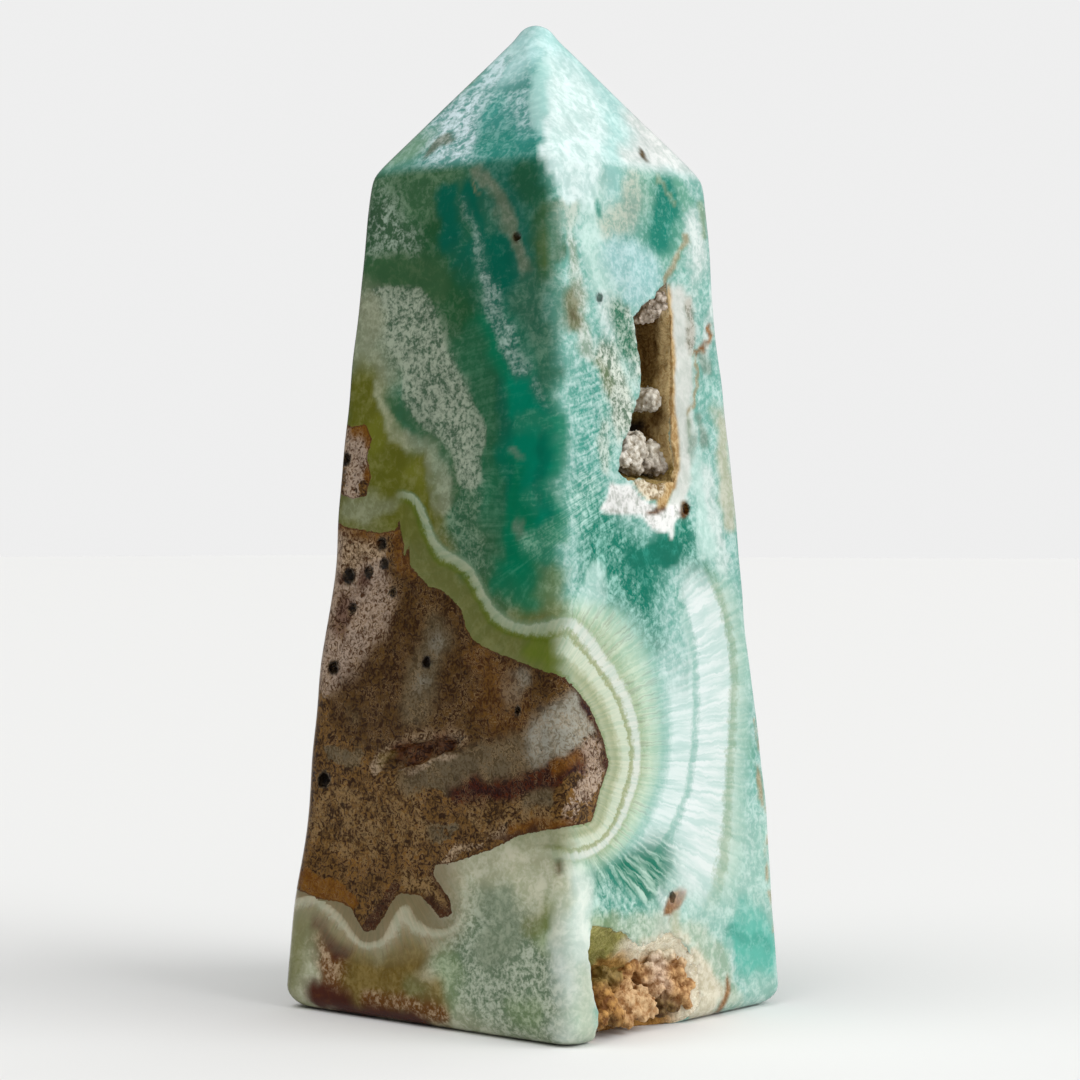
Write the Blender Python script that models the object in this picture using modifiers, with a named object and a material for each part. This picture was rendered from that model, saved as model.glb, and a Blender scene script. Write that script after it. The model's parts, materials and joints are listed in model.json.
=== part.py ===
# Blue aragonite generator: a four-sided tower, cut from one stone, that stands on its sawn base.
# Metres, +Z up. The origin is the middle of the base, the broad left face looks to -Y and the
# face with the tall hollow looks to +X.
#
# The stone is one solid, with its two hollows, one long pit and its pores cut into it.
# Each hollow holds a crust of rounded crystal lumps, a solid of its own.

import math

import bmesh
import bpy
from mathutils import Vector, noise

MM = 0.001

# The tower, in millimetres: sizes along X and Y before its edges are rounded
BASE_SIZE = (38.4, 35.0)
SHOULDER_SIZE = (24.4, 26.0)
SHOULDER_HEIGHT = 84.3
SHOULDER_SHIFT = (0.4, 0.4)
TIP = (0.1, 0.2, 101.33)

# Rounding of the edges, as the distance from the edge at which it starts
BASE_ROUNDING = 2.2
SIDE_ROUNDING = 1.3
SHOULDER_ROUNDING = 0.9
TIP_ROUNDING = 1.2
ROUNDING_STEPS = 3

# Unevenness of hand polishing: corner side along X and Y, height, half length, outward shift
POLISH_STEP = 5.0
POLISH_WAVES = (
    (-1, -1, 44.0, 5.0, -0.55),
    (-1, -1, 19.0, 4.5, -0.3),
    (-1, -1, 8.0, 5.0, 0.3),
    (1, 1, 71.0, 8.0, -0.3),
    (1, 1, 21.0, 11.0, 0.5),
    (1, -1, 60.0, 12.0, 0.25),
    (-1, 1, 35.0, 14.0, 0.3),
    (-1, 1, 66.0, 9.0, -0.35),
)

# The tall hollow of the +X face: its rim as (across, height) on the face, then each ring of
# the hollow as (depth, share of the rim's size), drawn in towards the pivot
POCKET_RIM = (
    (4.9, 73.4), (2.6, 71.7), (0.4, 70.6), (-1.1, 69.4), (-0.8, 67.2), (-0.5, 63.8),
    (-0.9, 62.3), (-1.8, 60.8), (-2.7, 58.8), (-4.3, 56.8), (-5.4, 54.1), (-3.6, 53.2),
    (-1.8, 53.5), (0.7, 53.0), (3.6, 53.3), (4.3, 54.5), (4.0, 57.5), (4.3, 61.5), (5.0, 68.6),
)
POCKET_PIVOT = (1.8, 62.0)
POCKET_RINGS = ((-1.0, 1.0), (0.5, 1.0), (2.6, 0.95), (4.4, 0.85), (5.6, 0.62))

# The hollow at the foot of the +X face, which runs out through the base
FOOT_RIM = (
    (-13.5, -1.5), (-13.3, 2.9), (-13.8, 5.5), (-14.2, 8.6), (-13.2, 10.8), (-9.6, 10.9),
    (-5.0, 10.2), (-1.5, 10.6), (1.8, 9.2), (4.4, 7.0), (6.4, 3.4), (6.2, -1.5),
)
FOOT_PIVOT = (-10.6, -1.5)
FOOT_RINGS = ((-1.0, 1.0), (0.3, 1.0), (1.8, 0.86), (3.4, 0.66), (4.6, 0.42))

# The long shallow pit in the brown stone of the -Y face
PIT_RIM = (
    (-6.8, 25.2), (-5.6, 26.4), (-3.9, 27.3), (0.0, 28.2), (4.5, 28.4),
    (3.6, 27.3), (1.4, 26.5), (-1.0, 25.6), (-3.8, 24.8), (-5.8, 24.6),
)
PIT_PIVOT = (-1.5, 26.5)
PIT_RINGS = ((-0.6, 1.0), (0.2, 1.0), (0.9, 0.72))

# Roughness of the hollows' walls: how far the noise moves them, and its grain size
WALL_ROUGHNESS = 0.2
WALL_GRAIN = 1.6

# Pores: face, across, height, radius
PORES = (
    ("-Y", -0.9, 35.5, 0.55), ("-Y", -14.2, 23.2, 0.8), ("-Y", -12.0, 43.8, 0.7),
    ("-Y", -9.3, 44.3, 0.55), ("-Y", -7.2, 45.1, 0.5), ("-Y", -7.6, 47.1, 0.6),
    ("-Y", -11.3, 40.6, 0.5), ("-Y", -5.9, 42.3, 0.45), ("-Y", -13.4, 34.6, 0.7),
    ("-Y", 8.8, 76.7, 0.45), ("-Y", 11.1, 31.2, 0.4), ("-Y", -12.9, 55.6, 0.6),
    ("+X", -6.4, 71.0, 0.5), ("+X", -0.8, 12.6, 0.6), ("+X", 5.4, 50.6, 0.7),
    ("-X", -9.0, 39.0, 0.8), ("-X", -5.5, 45.5, 0.6), ("-X", -11.0, 27.5, 0.9),
    ("-X", -3.0, 31.0, 0.6), ("-X", -7.0, 19.0, 0.7), ("-X", 2.0, 24.0, 0.5),
    ("+Y", 6.0, 33.0, 0.6), ("+Y", -4.0, 58.0, 0.5),
)
PORE_SINK = 0.35

# The crusts: lumps as (across, height, depth, radius), and the depth and thickness of the
# layer that they grow from
POCKET_LUMPS = (
    (-0.2, 56.2, 2.1, 1.7), (-2.2, 55.4, 2.3, 1.5), (1.6, 55.1, 1.9, 1.4), (3.0, 57.0, 2.2, 1.6),
    (3.0, 55.0, 2.0, 1.2), (0.2, 54.4, 1.7, 1.1), (3.3, 61.9, 2.7, 1.3), (2.7, 60.1, 3.4, 1.2),
    (3.4, 70.8, 2.4, 1.3), (2.1, 69.3, 2.6, 1.3), (3.8, 68.4, 2.2, 1.0), (0.7, 68.2, 3.2, 1.1),
    (1.2, 65.0, 4.2, 1.2), (0.4, 58.4, 4.0, 1.4),
)
POCKET_LAYER = (3.9, 5.4)
FOOT_LUMPS = (
    (-3.0, 6.4, 2.4, 2.0), (-0.7, 6.4, 2.0, 1.6), (-0.4, 4.0, 2.1, 1.8), (-2.9, 3.4, 2.4, 2.1),
    (-6.0, 2.8, 2.5, 2.1), (-4.3, 2.0, 2.1, 1.7), (-7.4, 4.8, 3.0, 1.9), (-9.6, 3.2, 3.4, 1.9),
    (-9.2, 6.2, 3.2, 1.7), (-11.4, 2.6, 3.6, 1.6), (1.4, 2.4, 1.9, 1.5),
)
FOOT_LAYER = (3.0, 4.4)
CRUST_CLEARANCE = 0.5
CRUST_TOP = 0.2
SHARPEST_CORNER = 0.4
CRUST_LIFT = 0.4
LUMP_ROOT = 0.7
LUMP_ROUGHNESS = 0.3
LUMP_GRAIN = 1.1
CRUST_VOXEL = 0.4
CRUST_KEPT_FACES = 0.28

# Colours of the stone and the two crusts
STONE_COLOUR = (0.32, 0.58, 0.48, 1.0)
POCKET_COLOUR = (0.52, 0.42, 0.33, 1.0)
FOOT_COLOUR = (0.55, 0.33, 0.15, 1.0)
STONE_ROUGHNESS = 0.16
CRUST_ROUGHNESS = 0.75


def clear_scene():
    for old in list(bpy.data.objects):
        bpy.data.objects.remove(old, do_unlink=True)


def collection(name):
    made = bpy.data.collections.new(name)
    bpy.context.scene.collection.children.link(made)
    return made


def plain_material(name, colour, roughness):
    made = bpy.data.materials.new(name)
    made.use_nodes = True
    shader = made.node_tree.nodes["Principled BSDF"]
    shader.inputs["Base Color"].default_value = colour
    shader.inputs["Roughness"].default_value = roughness
    shader.inputs["Metallic"].default_value = 0.0
    return made


def add_object(name, bm, home, material=None):
    """Put a bmesh that is measured in millimetres in the scene, in metres."""
    bmesh.ops.recalc_face_normals(bm, faces=bm.faces)
    bmesh.ops.scale(bm, vec=(MM, MM, MM), verts=bm.verts)
    mesh = bpy.data.meshes.new(name)
    bm.to_mesh(mesh)
    bm.free()
    if material is None:
        shown = bpy.data.objects.new(name, mesh)
        shown.hide_render = True
        shown.display_type = "WIRE"
    else:
        mesh.materials.append(material)
        shown = bpy.data.objects.new(name, mesh)
    home.objects.link(shown)
    return shown


def cut(target, cutter, operation="DIFFERENCE"):
    made = target.modifiers.new(cutter.name, "BOOLEAN")
    made.object = cutter
    made.operation = operation
    made.solver = "EXACT"


def face_line(face, height):
    """The distance of a side face from the axis at a height, along that face's own axis."""
    axis = 0 if face[1] == "X" else 1
    side = 1 if face[0] == "+" else -1
    low = side * BASE_SIZE[axis] / 2
    high = SHOULDER_SHIFT[axis] + side * SHOULDER_SIZE[axis] / 2
    return low + (high - low) * height / SHOULDER_HEIGHT


def on_face(face, across, height, depth):
    """A point under a side face, by its place on the face and its depth under it."""
    side = 1 if face[0] == "+" else -1
    out = face_line(face, height) - side * depth
    if face[1] == "X":
        return Vector((out, across, height))
    return Vector((across, out, height))


def roughened(bm, amount, grain):
    """Move each vertex along its normal by smooth noise."""
    bm.normal_update()
    for vert in bm.verts:
        vert.co += vert.normal * amount * noise.noise(vert.co / grain)


def hollow(face, rim, pivot, rings, rough=True):
    """The solid that fills a hollow: its rim, pushed in and drawn together ring by ring."""
    bm = bmesh.new()
    loops = []
    for depth, share in rings:
        loops.append([
            bm.verts.new(on_face(face, pivot[0] + (across - pivot[0]) * share,
                                 pivot[1] + (height - pivot[1]) * share, depth))
            for across, height in rim
        ])
    bm.faces.new(loops[0])
    bm.faces.new(loops[-1])
    for near, far in zip(loops, loops[1:]):
        for index in range(len(rim)):
            bm.faces.new((near[index - 1], near[index], far[index], far[index - 1]))
    bmesh.ops.triangulate(bm, faces=[face for face in bm.faces if len(face.verts) > 4])
    if rough:
        bmesh.ops.subdivide_edges(bm, edges=bm.edges, cuts=1, use_grid_fill=True)
    bmesh.ops.triangulate(bm, faces=bm.faces)
    bmesh.ops.recalc_face_normals(bm, faces=bm.faces)
    if rough:
        roughened(bm, WALL_ROUGHNESS, WALL_GRAIN)
    return bm


def tower():
    """The four-sided body and its pyramid tip, with each edge marked for its own rounding."""
    bm = bmesh.new()
    bmesh.ops.create_cube(bm, size=1.0)
    for vert in bm.verts:
        side_x = math.copysign(0.5, vert.co.x)
        side_y = math.copysign(0.5, vert.co.y)
        if vert.co.z < 0:
            vert.co = (side_x * BASE_SIZE[0], side_y * BASE_SIZE[1], 0.0)
        else:
            vert.co = (SHOULDER_SHIFT[0] + side_x * SHOULDER_SIZE[0],
                       SHOULDER_SHIFT[1] + side_y * SHOULDER_SIZE[1], SHOULDER_HEIGHT)
    top = max(bm.faces, key=lambda face: face.calc_center_median().z)
    tip = bmesh.ops.poke(bm, faces=[top])["verts"][0]
    tip.co = TIP

    rounding = bm.edges.layers.float.new("bevel_weight_edge")
    widest = max(BASE_ROUNDING, SIDE_ROUNDING, SHOULDER_ROUNDING, TIP_ROUNDING)
    for edge in bm.edges:
        low, high = sorted(vert.co.z for vert in edge.verts)
        if high == 0.0:
            edge[rounding] = BASE_ROUNDING / widest
        elif low == 0.0:
            edge[rounding] = SIDE_ROUNDING / widest
        elif tip in edge.verts:
            edge[rounding] = TIP_ROUNDING / widest
        else:
            edge[rounding] = SHOULDER_ROUNDING / widest

    for step in range(1, int(SHOULDER_HEIGHT / POLISH_STEP)):
        bmesh.ops.bisect_plane(bm, geom=bm.verts[:] + bm.edges[:] + bm.faces[:],
                               plane_co=(0, 0, step * POLISH_STEP), plane_no=(0, 0, 1))
    for vert in bm.verts:
        shift = 0.0
        for side_x, side_y, height, half, outward in POLISH_WAVES:
            if vert.co.x * side_x > 0 and vert.co.y * side_y > 0 and vert.co.z > 0:
                shift += outward * math.exp(-((vert.co.z - height) / half) ** 2)
        outwards = Vector((math.copysign(1, vert.co.x), math.copysign(1, vert.co.y), 0.0))
        if vert is not tip:
            vert.co += outwards.normalized() * shift
    return bm, widest


def pore_cutters():
    bm = bmesh.new()
    for face, across, height, radius in PORES:
        made = bmesh.ops.create_icosphere(bm, subdivisions=2, radius=radius)
        place = on_face(face, across, height, radius * PORE_SINK)
        bmesh.ops.translate(bm, verts=made["verts"], vec=place)
    return bm


def crust(face, rim, pivot, rings, lumps, layer):
    """Lumps that grow from a layer at the bottom of a hollow."""
    layer_near = layer[0]
    bm = hollow(face, rim, pivot, [(depth, share_at(rings, depth)) for depth in layer], rough=False)
    for across, height, depth, radius in lumps:
        made = bmesh.ops.create_icosphere(bm, subdivisions=2, radius=radius)
        reach = (layer_near + LUMP_ROOT - (depth - radius)) / 2
        stretch = max(1.0, reach / radius)
        along = (stretch, 1, 1) if face[1] == "X" else (1, stretch, 1)
        bmesh.ops.scale(bm, verts=made["verts"], vec=along)
        middle = on_face(face, across, height, depth - radius + radius * stretch)
        bmesh.ops.translate(bm, verts=made["verts"], vec=middle)
    roughened(bm, LUMP_ROUGHNESS, LUMP_GRAIN)
    return bm


def share_at(rings, depth):
    """The size of a hollow at a depth, between the rings on both sides of it."""
    for (near, near_share), (far, far_share) in zip(rings, rings[1:]):
        if near <= depth <= far:
            return near_share + (far_share - near_share) * (depth - near) / (far - near)
    return rings[-1][1]


def drawn_in(rim, gap):
    """A rim with each of its sides moved inwards by a gap."""
    points = [Vector(point) for point in rim]
    turn = sum(points[index - 1].cross(point) for index, point in enumerate(points))
    inside = math.copysign(1, turn)
    moved = []
    for index, here in enumerate(points):
        before = (here - points[index - 1]).normalized()
        after = (points[(index + 1) % len(points)] - here).normalized()
        normal = Vector((-before.y, before.x)) * inside
        bisector = (normal + Vector((-after.y, after.x)) * inside).normalized()
        moved.append(here + bisector * gap / max(bisector.dot(normal), SHARPEST_CORNER))
    return moved


def crust_room(face, rim, pivot, rings):
    """The space that a crust may fill: its hollow, drawn in from the walls and off the base."""
    deepest = rings[-1][0] - CRUST_CLEARANCE
    inner = [ring for ring in rings if CRUST_TOP < ring[0] < deepest]
    room_rings = [(CRUST_TOP, 1.0)] + inner + [(deepest, share_at(rings, deepest))]
    bm = hollow(face, drawn_in(rim, CRUST_CLEARANCE), pivot, room_rings, rough=False)
    sawn = bmesh.ops.bisect_plane(bm, geom=bm.verts[:] + bm.edges[:] + bm.faces[:],
                                  plane_co=(0, 0, CRUST_LIFT), plane_no=(0, 0, 1),
                                  clear_inner=True)
    cut_edges = [item for item in sawn["geom_cut"] if isinstance(item, bmesh.types.BMEdge)]
    if cut_edges:
        bmesh.ops.holes_fill(bm, edges=cut_edges)
    return bm


clear_scene()
pieces = collection("aragonite_generator")
cutters = collection("cutters")

body, full_rounding = tower()
stone = add_object("aragonite_generator", body, pieces,
                   plain_material("polished_stone", STONE_COLOUR, STONE_ROUGHNESS))
bevel = stone.modifiers.new("rounded_edges", "BEVEL")
bevel.limit_method = "WEIGHT"
bevel.offset_type = "OFFSET"
bevel.width = full_rounding * MM
bevel.segments = ROUNDING_STEPS

hollows = (
    ("tall_hollow", "+X", POCKET_RIM, POCKET_PIVOT, POCKET_RINGS),
    ("foot_hollow", "+X", FOOT_RIM, FOOT_PIVOT, FOOT_RINGS),
    ("long_pit", "-Y", PIT_RIM, PIT_PIVOT, PIT_RINGS),
)
for name, side, rim, pivot, rings in hollows:
    cut(stone, add_object(name, hollow(side, rim, pivot, rings), cutters))
cut(stone, add_object("pores", pore_cutters(), cutters))

crusts = (
    ("pocket_crystals", POCKET_RIM, POCKET_PIVOT, POCKET_RINGS, POCKET_LUMPS, POCKET_LAYER,
     POCKET_COLOUR),
    ("foot_crystals", FOOT_RIM, FOOT_PIVOT, FOOT_RINGS, FOOT_LUMPS, FOOT_LAYER, FOOT_COLOUR),
)
for name, rim, pivot, rings, lumps, layer, colour in crusts:
    made = add_object(name, crust("+X", rim, pivot, rings, lumps, layer), pieces,
                      plain_material(name + "_stone", colour, CRUST_ROUGHNESS))
    grown = made.modifiers.new("grown_together", "REMESH")
    grown.mode = "VOXEL"
    grown.voxel_size = CRUST_VOXEL * MM
    fewer = made.modifiers.new("fewer_faces", "DECIMATE")
    fewer.ratio = CRUST_KEPT_FACES
    cut(made, add_object(name + "_room", crust_room("+X", rim, pivot, rings), cutters), "INTERSECT")
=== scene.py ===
import json
import math

import bmesh
import bpy
import numpy as np
from mathutils import Matrix, Vector, noise
from mathutils.bvhtree import BVHTree

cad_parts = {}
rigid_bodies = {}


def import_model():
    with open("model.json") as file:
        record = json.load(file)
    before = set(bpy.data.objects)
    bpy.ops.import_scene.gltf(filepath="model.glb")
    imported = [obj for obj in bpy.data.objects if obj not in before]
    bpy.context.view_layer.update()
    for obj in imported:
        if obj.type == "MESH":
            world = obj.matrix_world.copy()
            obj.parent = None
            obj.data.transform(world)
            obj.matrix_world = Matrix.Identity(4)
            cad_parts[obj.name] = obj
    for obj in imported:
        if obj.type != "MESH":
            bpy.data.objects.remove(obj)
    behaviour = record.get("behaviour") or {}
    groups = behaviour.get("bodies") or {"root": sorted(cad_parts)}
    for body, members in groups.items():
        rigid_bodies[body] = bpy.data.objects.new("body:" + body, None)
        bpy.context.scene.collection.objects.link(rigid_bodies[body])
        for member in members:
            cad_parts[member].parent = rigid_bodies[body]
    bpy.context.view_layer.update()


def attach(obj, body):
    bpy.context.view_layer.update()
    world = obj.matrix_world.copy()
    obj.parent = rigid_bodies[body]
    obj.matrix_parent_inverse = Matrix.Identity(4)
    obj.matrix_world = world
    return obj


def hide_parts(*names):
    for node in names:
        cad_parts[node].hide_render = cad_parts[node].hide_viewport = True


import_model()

# The camera
# It looks level at the upright tower from its front corner, half way up, so that the broad
# matrix face shows on the left and the face with the tall hollow on the right.
MM = 0.001
CAMERA_AZIMUTH = math.radians(39.7)
CAMERA_DISTANCE = 280.0
CAMERA_HEIGHT = 47.48
CAMERA_SIDESTEP = 0.63
LENS = 91.37
SENSOR = 36.0
PHOTO_SIZE = 1080

towards_camera = np.array([math.sin(CAMERA_AZIMUTH), -math.cos(CAMERA_AZIMUTH), 0.0])
to_the_right = np.array([math.cos(CAMERA_AZIMUTH), math.sin(CAMERA_AZIMUTH), 0.0])
upwards = np.array([0.0, 0.0, 1.0])
eye = towards_camera * CAMERA_DISTANCE + to_the_right * CAMERA_SIDESTEP + upwards * CAMERA_HEIGHT

camera_data = bpy.data.cameras.new("camera")
camera_data.lens = LENS
camera_data.sensor_width = SENSOR
camera_data.clip_start = 0.01
camera = bpy.data.objects.new("camera", camera_data)
camera.location = eye * MM
camera.rotation_euler = (math.radians(90), 0.0, CAMERA_AZIMUTH)
bpy.context.scene.collection.objects.link(camera)
bpy.context.scene.camera = camera

# The studio
# A plain pale floor under a soft sky that is brighter on the right, like a large window, a
# broad soft sun from that side and a second one from above. The sky that the camera sees is
# one plain pale tone.
FLOOR_SIZE = 12.0
FLOOR_COLOUR = (0.8, 0.8, 0.79, 1.0)
SKY_SEEN = 0.86
SKY_BRIGHT = 0.8
SKY_DIM = 0.1
WINDOW_AZIMUTH = math.radians(118)
SUNS = {"window_sun": (106, 36, 1.55), "top_sun": (345, 62, 1.25)}
SUN_SPREAD = math.radians(45)

bpy.ops.mesh.primitive_plane_add(size=FLOOR_SIZE)
floor = bpy.context.object
floor.name = "floor"
floor_material = bpy.data.materials.new("pale_floor")
floor_material.use_nodes = True
floor_shader = floor_material.node_tree.nodes["Principled BSDF"]
floor_shader.inputs["Base Color"].default_value = FLOOR_COLOUR
floor_shader.inputs["Roughness"].default_value = 0.8
floor_shader.inputs["Specular IOR Level"].default_value = 0.1
floor.data.materials.append(floor_material)

world = bpy.data.worlds.new("studio")
world.use_nodes = True
sky = world.node_tree
window_side = sky.nodes.new("ShaderNodeVectorMath")
window_side.operation = "DOT_PRODUCT"
window_side.inputs[1].default_value = (math.sin(WINDOW_AZIMUTH), -math.cos(WINDOW_AZIMUTH), 0.25)
sky_range = sky.nodes.new("ShaderNodeMapRange")
sky_range.interpolation_type = "SMOOTHSTEP"
sky_range.inputs["From Min"].default_value = -0.75
sky_range.inputs["From Max"].default_value = 0.9
sky_range.inputs["To Min"].default_value = SKY_DIM
sky_range.inputs["To Max"].default_value = SKY_BRIGHT
seen = sky.nodes.new("ShaderNodeMix")
seen.inputs["B"].default_value = SKY_SEEN
sky.links.new(sky.nodes.new("ShaderNodeTexCoord").outputs["Generated"], window_side.inputs[0])
sky.links.new(window_side.outputs["Value"], sky_range.inputs["Value"])
sky.links.new(sky.nodes.new("ShaderNodeLightPath").outputs["Is Camera Ray"], seen.inputs["Factor"])
sky.links.new(sky_range.outputs["Result"], seen.inputs["A"])
sky.links.new(seen.outputs["Result"], sky.nodes["Background"].inputs["Strength"])
sky.nodes["Background"].inputs["Color"].default_value = (1.0, 1.0, 1.0, 1.0)
bpy.context.scene.world = world
bpy.context.scene.view_settings.view_transform = "Standard"

for name, (azimuth, climb, strength) in SUNS.items():
    sun_data = bpy.data.lights.new(name, "SUN")
    sun_data.energy = strength
    sun_data.angle = SUN_SPREAD
    sun = bpy.data.objects.new(name, sun_data)
    sun.rotation_euler = (math.radians(90 - climb), 0.0, math.radians(azimuth))
    bpy.context.scene.collection.objects.link(sun)

# The tower's polished form
# One stone, sawn to four sides that lean in to a pyramid tip, ground by hand so that no face
# is quite flat, and polished. Its edges and corners are rounded. Sizes are in millimetres.
BASE_SIZE = (38.4, 35.0)
SHOULDER_SIZE = (24.4, 26.0)
SHOULDER_HEIGHT = 84.3
SHOULDER_SHIFT = (0.4, 0.4)
TIP = (0.1, 0.2, 101.33)
TOP = 100.0
SIDE_ROUND = 1.8
BASE_ROUND = 2.2
SHOULDER_SOFTNESS = 0.5
POLISH_WAVES = (
    (-1, -1, 44.0, 5.0, -0.55),
    (-1, -1, 19.0, 4.5, -0.3),
    (-1, -1, 8.0, 5.0, 0.3),
    (1, 1, 71.0, 8.0, -0.3),
    (1, 1, 21.0, 11.0, 0.5),
    (1, -1, 60.0, 12.0, 0.25),
    (-1, 1, 35.0, 14.0, 0.3),
    (-1, 1, 66.0, 9.0, -0.35),
)
POLISH_RIPPLE = 0.07
POLISH_RIPPLE_SIZE = 9.0
COLUMNS = {"-Y": 92, "+X": 86, "+Y": 46, "-X": 46}
CORNER_COLUMNS = 5
ROWS = 272
BOTTOM_RINGS = 9


def side_reach(side, height):
    """How far a side stands from the axis at a height, with its signed direction."""
    axis = 0 if side[1] == "X" else 1
    sign = 1 if side[0] == "+" else -1
    low = sign * BASE_SIZE[axis] / 2
    high = SHOULDER_SHIFT[axis] + sign * SHOULDER_SIZE[axis] / 2
    body = sign * (low + (high - low) * height / SHOULDER_HEIGHT)
    rise = (TIP[2] - height) / (TIP[2] - SHOULDER_HEIGHT)
    tip = sign * (TIP[axis] + (high - TIP[axis]) * rise)
    spread = np.sqrt((body - tip) ** 2 + SHOULDER_SOFTNESS ** 2)
    return sign * 0.5 * (body + tip - spread)


def ripple(points, size, seed):
    """Smooth noise from a few waves, between about -1 and 1."""
    draw = np.random.default_rng(seed)
    total = np.zeros(len(points))
    for wave in range(7):
        heading = draw.normal(size=points.shape[1])
        heading /= np.linalg.norm(heading)
        total += np.sin(points @ heading * 2 * math.pi / (size * draw.uniform(0.7, 1.5))
                        + draw.uniform(0, 2 * math.pi))
    return total / 3.2


columns = []
for (side, count), turn in zip(COLUMNS.items(), range(4)):
    outward = turn * math.pi / 2 - math.pi / 2
    for index in range(count):
        share = (index + 0.5) / count
        columns.append(((share, 1.0, 1 - share, 0.0)[turn], (0.0, share, 1.0, 1 - share)[turn],
                        math.cos(outward), math.sin(outward)))
    for index in range(CORNER_COLUMNS):
        angle = outward + math.pi / 2 * index / (CORNER_COLUMNS - 1)
        columns.append(((1.0, 1.0, 0.0, 0.0)[turn], (0.0, 1.0, 1.0, 0.0)[turn],
                        math.cos(angle), math.sin(angle)))
share_x, share_y, out_x, out_y = np.array(columns).T

side_lean = (SHOULDER_SIZE[0] + SHOULDER_SIZE[1]) / 4 / (TIP[2] - SHOULDER_HEIGHT)
tip_angle = math.atan(side_lean)
ball = (TIP[2] - TOP) / (1 / math.sin(tip_angle) - 1)
ball_centre = TOP - ball
ball_start = ball_centre + ball * math.sin(tip_angle)

base_rows = BASE_ROUND * (1 - np.cos(np.linspace(0, math.pi / 2, 9)))[:-1]
side_rows = np.linspace(BASE_ROUND, ball_start, ROWS)[:-1]
ball_turns = np.linspace(tip_angle, math.pi / 2, 12)[:-1]
ball_rows = ball_centre + ball * np.sin(ball_turns)
row_heights = np.concatenate([np.zeros(BOTTOM_RINGS), base_rows, side_rows, ball_rows])
row_shares = np.ones(len(row_heights))
row_shares[:BOTTOM_RINGS] = np.linspace(0.06, 0.94, BOTTOM_RINGS)


def section(height, share):
    """One ring of the form: a rectangle with round corners, a row of points."""
    inset = 0.0
    if height < BASE_ROUND:
        inset = BASE_ROUND - math.sqrt(max(BASE_ROUND ** 2 - (BASE_ROUND - height) ** 2, 0.0))
    slope_height = min(height, ball_start)
    edges = {side: float(side_reach(side, slope_height)) for side in COLUMNS}
    if height > ball_start:
        shrink = math.sqrt(ball ** 2 - (height - ball_centre) ** 2) / (ball * math.cos(tip_angle))
        for side, edge in edges.items():
            centre = TIP[0] if side[1] == "X" else TIP[1]
            edges[side] = centre + (edge - centre) * shrink
    left, right = edges["-X"] + inset, edges["+X"] - inset
    near, far = edges["-Y"] + inset, edges["+Y"] - inset
    corner = min(SIDE_ROUND, 0.42 * min(right - left, far - near))
    x = left + corner + share_x * (right - left - 2 * corner) + out_x * corner
    y = near + corner + share_y * (far - near - 2 * corner) + out_y * corner
    middle_x, middle_y = (left + right) / 2, (near + far) / 2
    return np.stack([middle_x + (x - middle_x) * share, middle_y + (y - middle_y) * share,
                     np.full(len(x), height)], axis=1)


grid = np.array([section(height, share) for height, share in zip(row_heights, row_shares)])
form = grid.reshape(-1, 3)
lift = np.clip(form[:, 2] / BASE_ROUND, 0, 1) * np.clip((TOP - form[:, 2]) / 4, 0, 1)
half_x = np.abs(side_reach("+X", np.clip(form[:, 2], 0, SHOULDER_HEIGHT)))
half_y = np.abs(side_reach("+Y", np.clip(form[:, 2], 0, SHOULDER_HEIGHT)))
for sign_x, sign_y, height, half_length, outward in POLISH_WAVES:
    nearness = np.clip(0.5 + 0.5 * sign_x * form[:, 0] / half_x, 0, 1)
    nearness *= np.clip(0.5 + 0.5 * sign_y * form[:, 1] / half_y, 0, 1)
    swell = outward * np.exp(-((form[:, 2] - height) / half_length) ** 2) * nearness * lift
    form[:, 0] += sign_x * swell / math.sqrt(2)
    form[:, 1] += sign_y * swell / math.sqrt(2)
ripples = POLISH_RIPPLE * ripple(form, POLISH_RIPPLE_SIZE, 4) * lift
form[:, 0] += np.tile(out_x, len(row_heights)) * ripples
form[:, 1] += np.tile(out_y, len(row_heights)) * ripples

width = len(columns)
foot_point, tip_point = len(form), len(form) + 1
form = np.vstack([form, [0.0, 0.0, 0.0], [TIP[0], TIP[1], TOP]])
faces = []
for row in range(len(row_heights) - 1):
    for column in range(width):
        beside = (column + 1) % width
        faces.append((row * width + column, row * width + beside,
                      (row + 1) * width + beside, (row + 1) * width + column))
last = (len(row_heights) - 1) * width
for column in range(width):
    beside = (column + 1) % width
    faces.append((column, foot_point, beside))
    faces.append((last + column, last + beside, tip_point))
form_mesh = bpy.data.meshes.new("polished_form")
form_mesh.from_pydata((form * MM).tolist(), [], faces)
stone = bpy.data.objects.new("banded_stone", form_mesh)
bpy.context.scene.collection.objects.link(stone)

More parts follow.
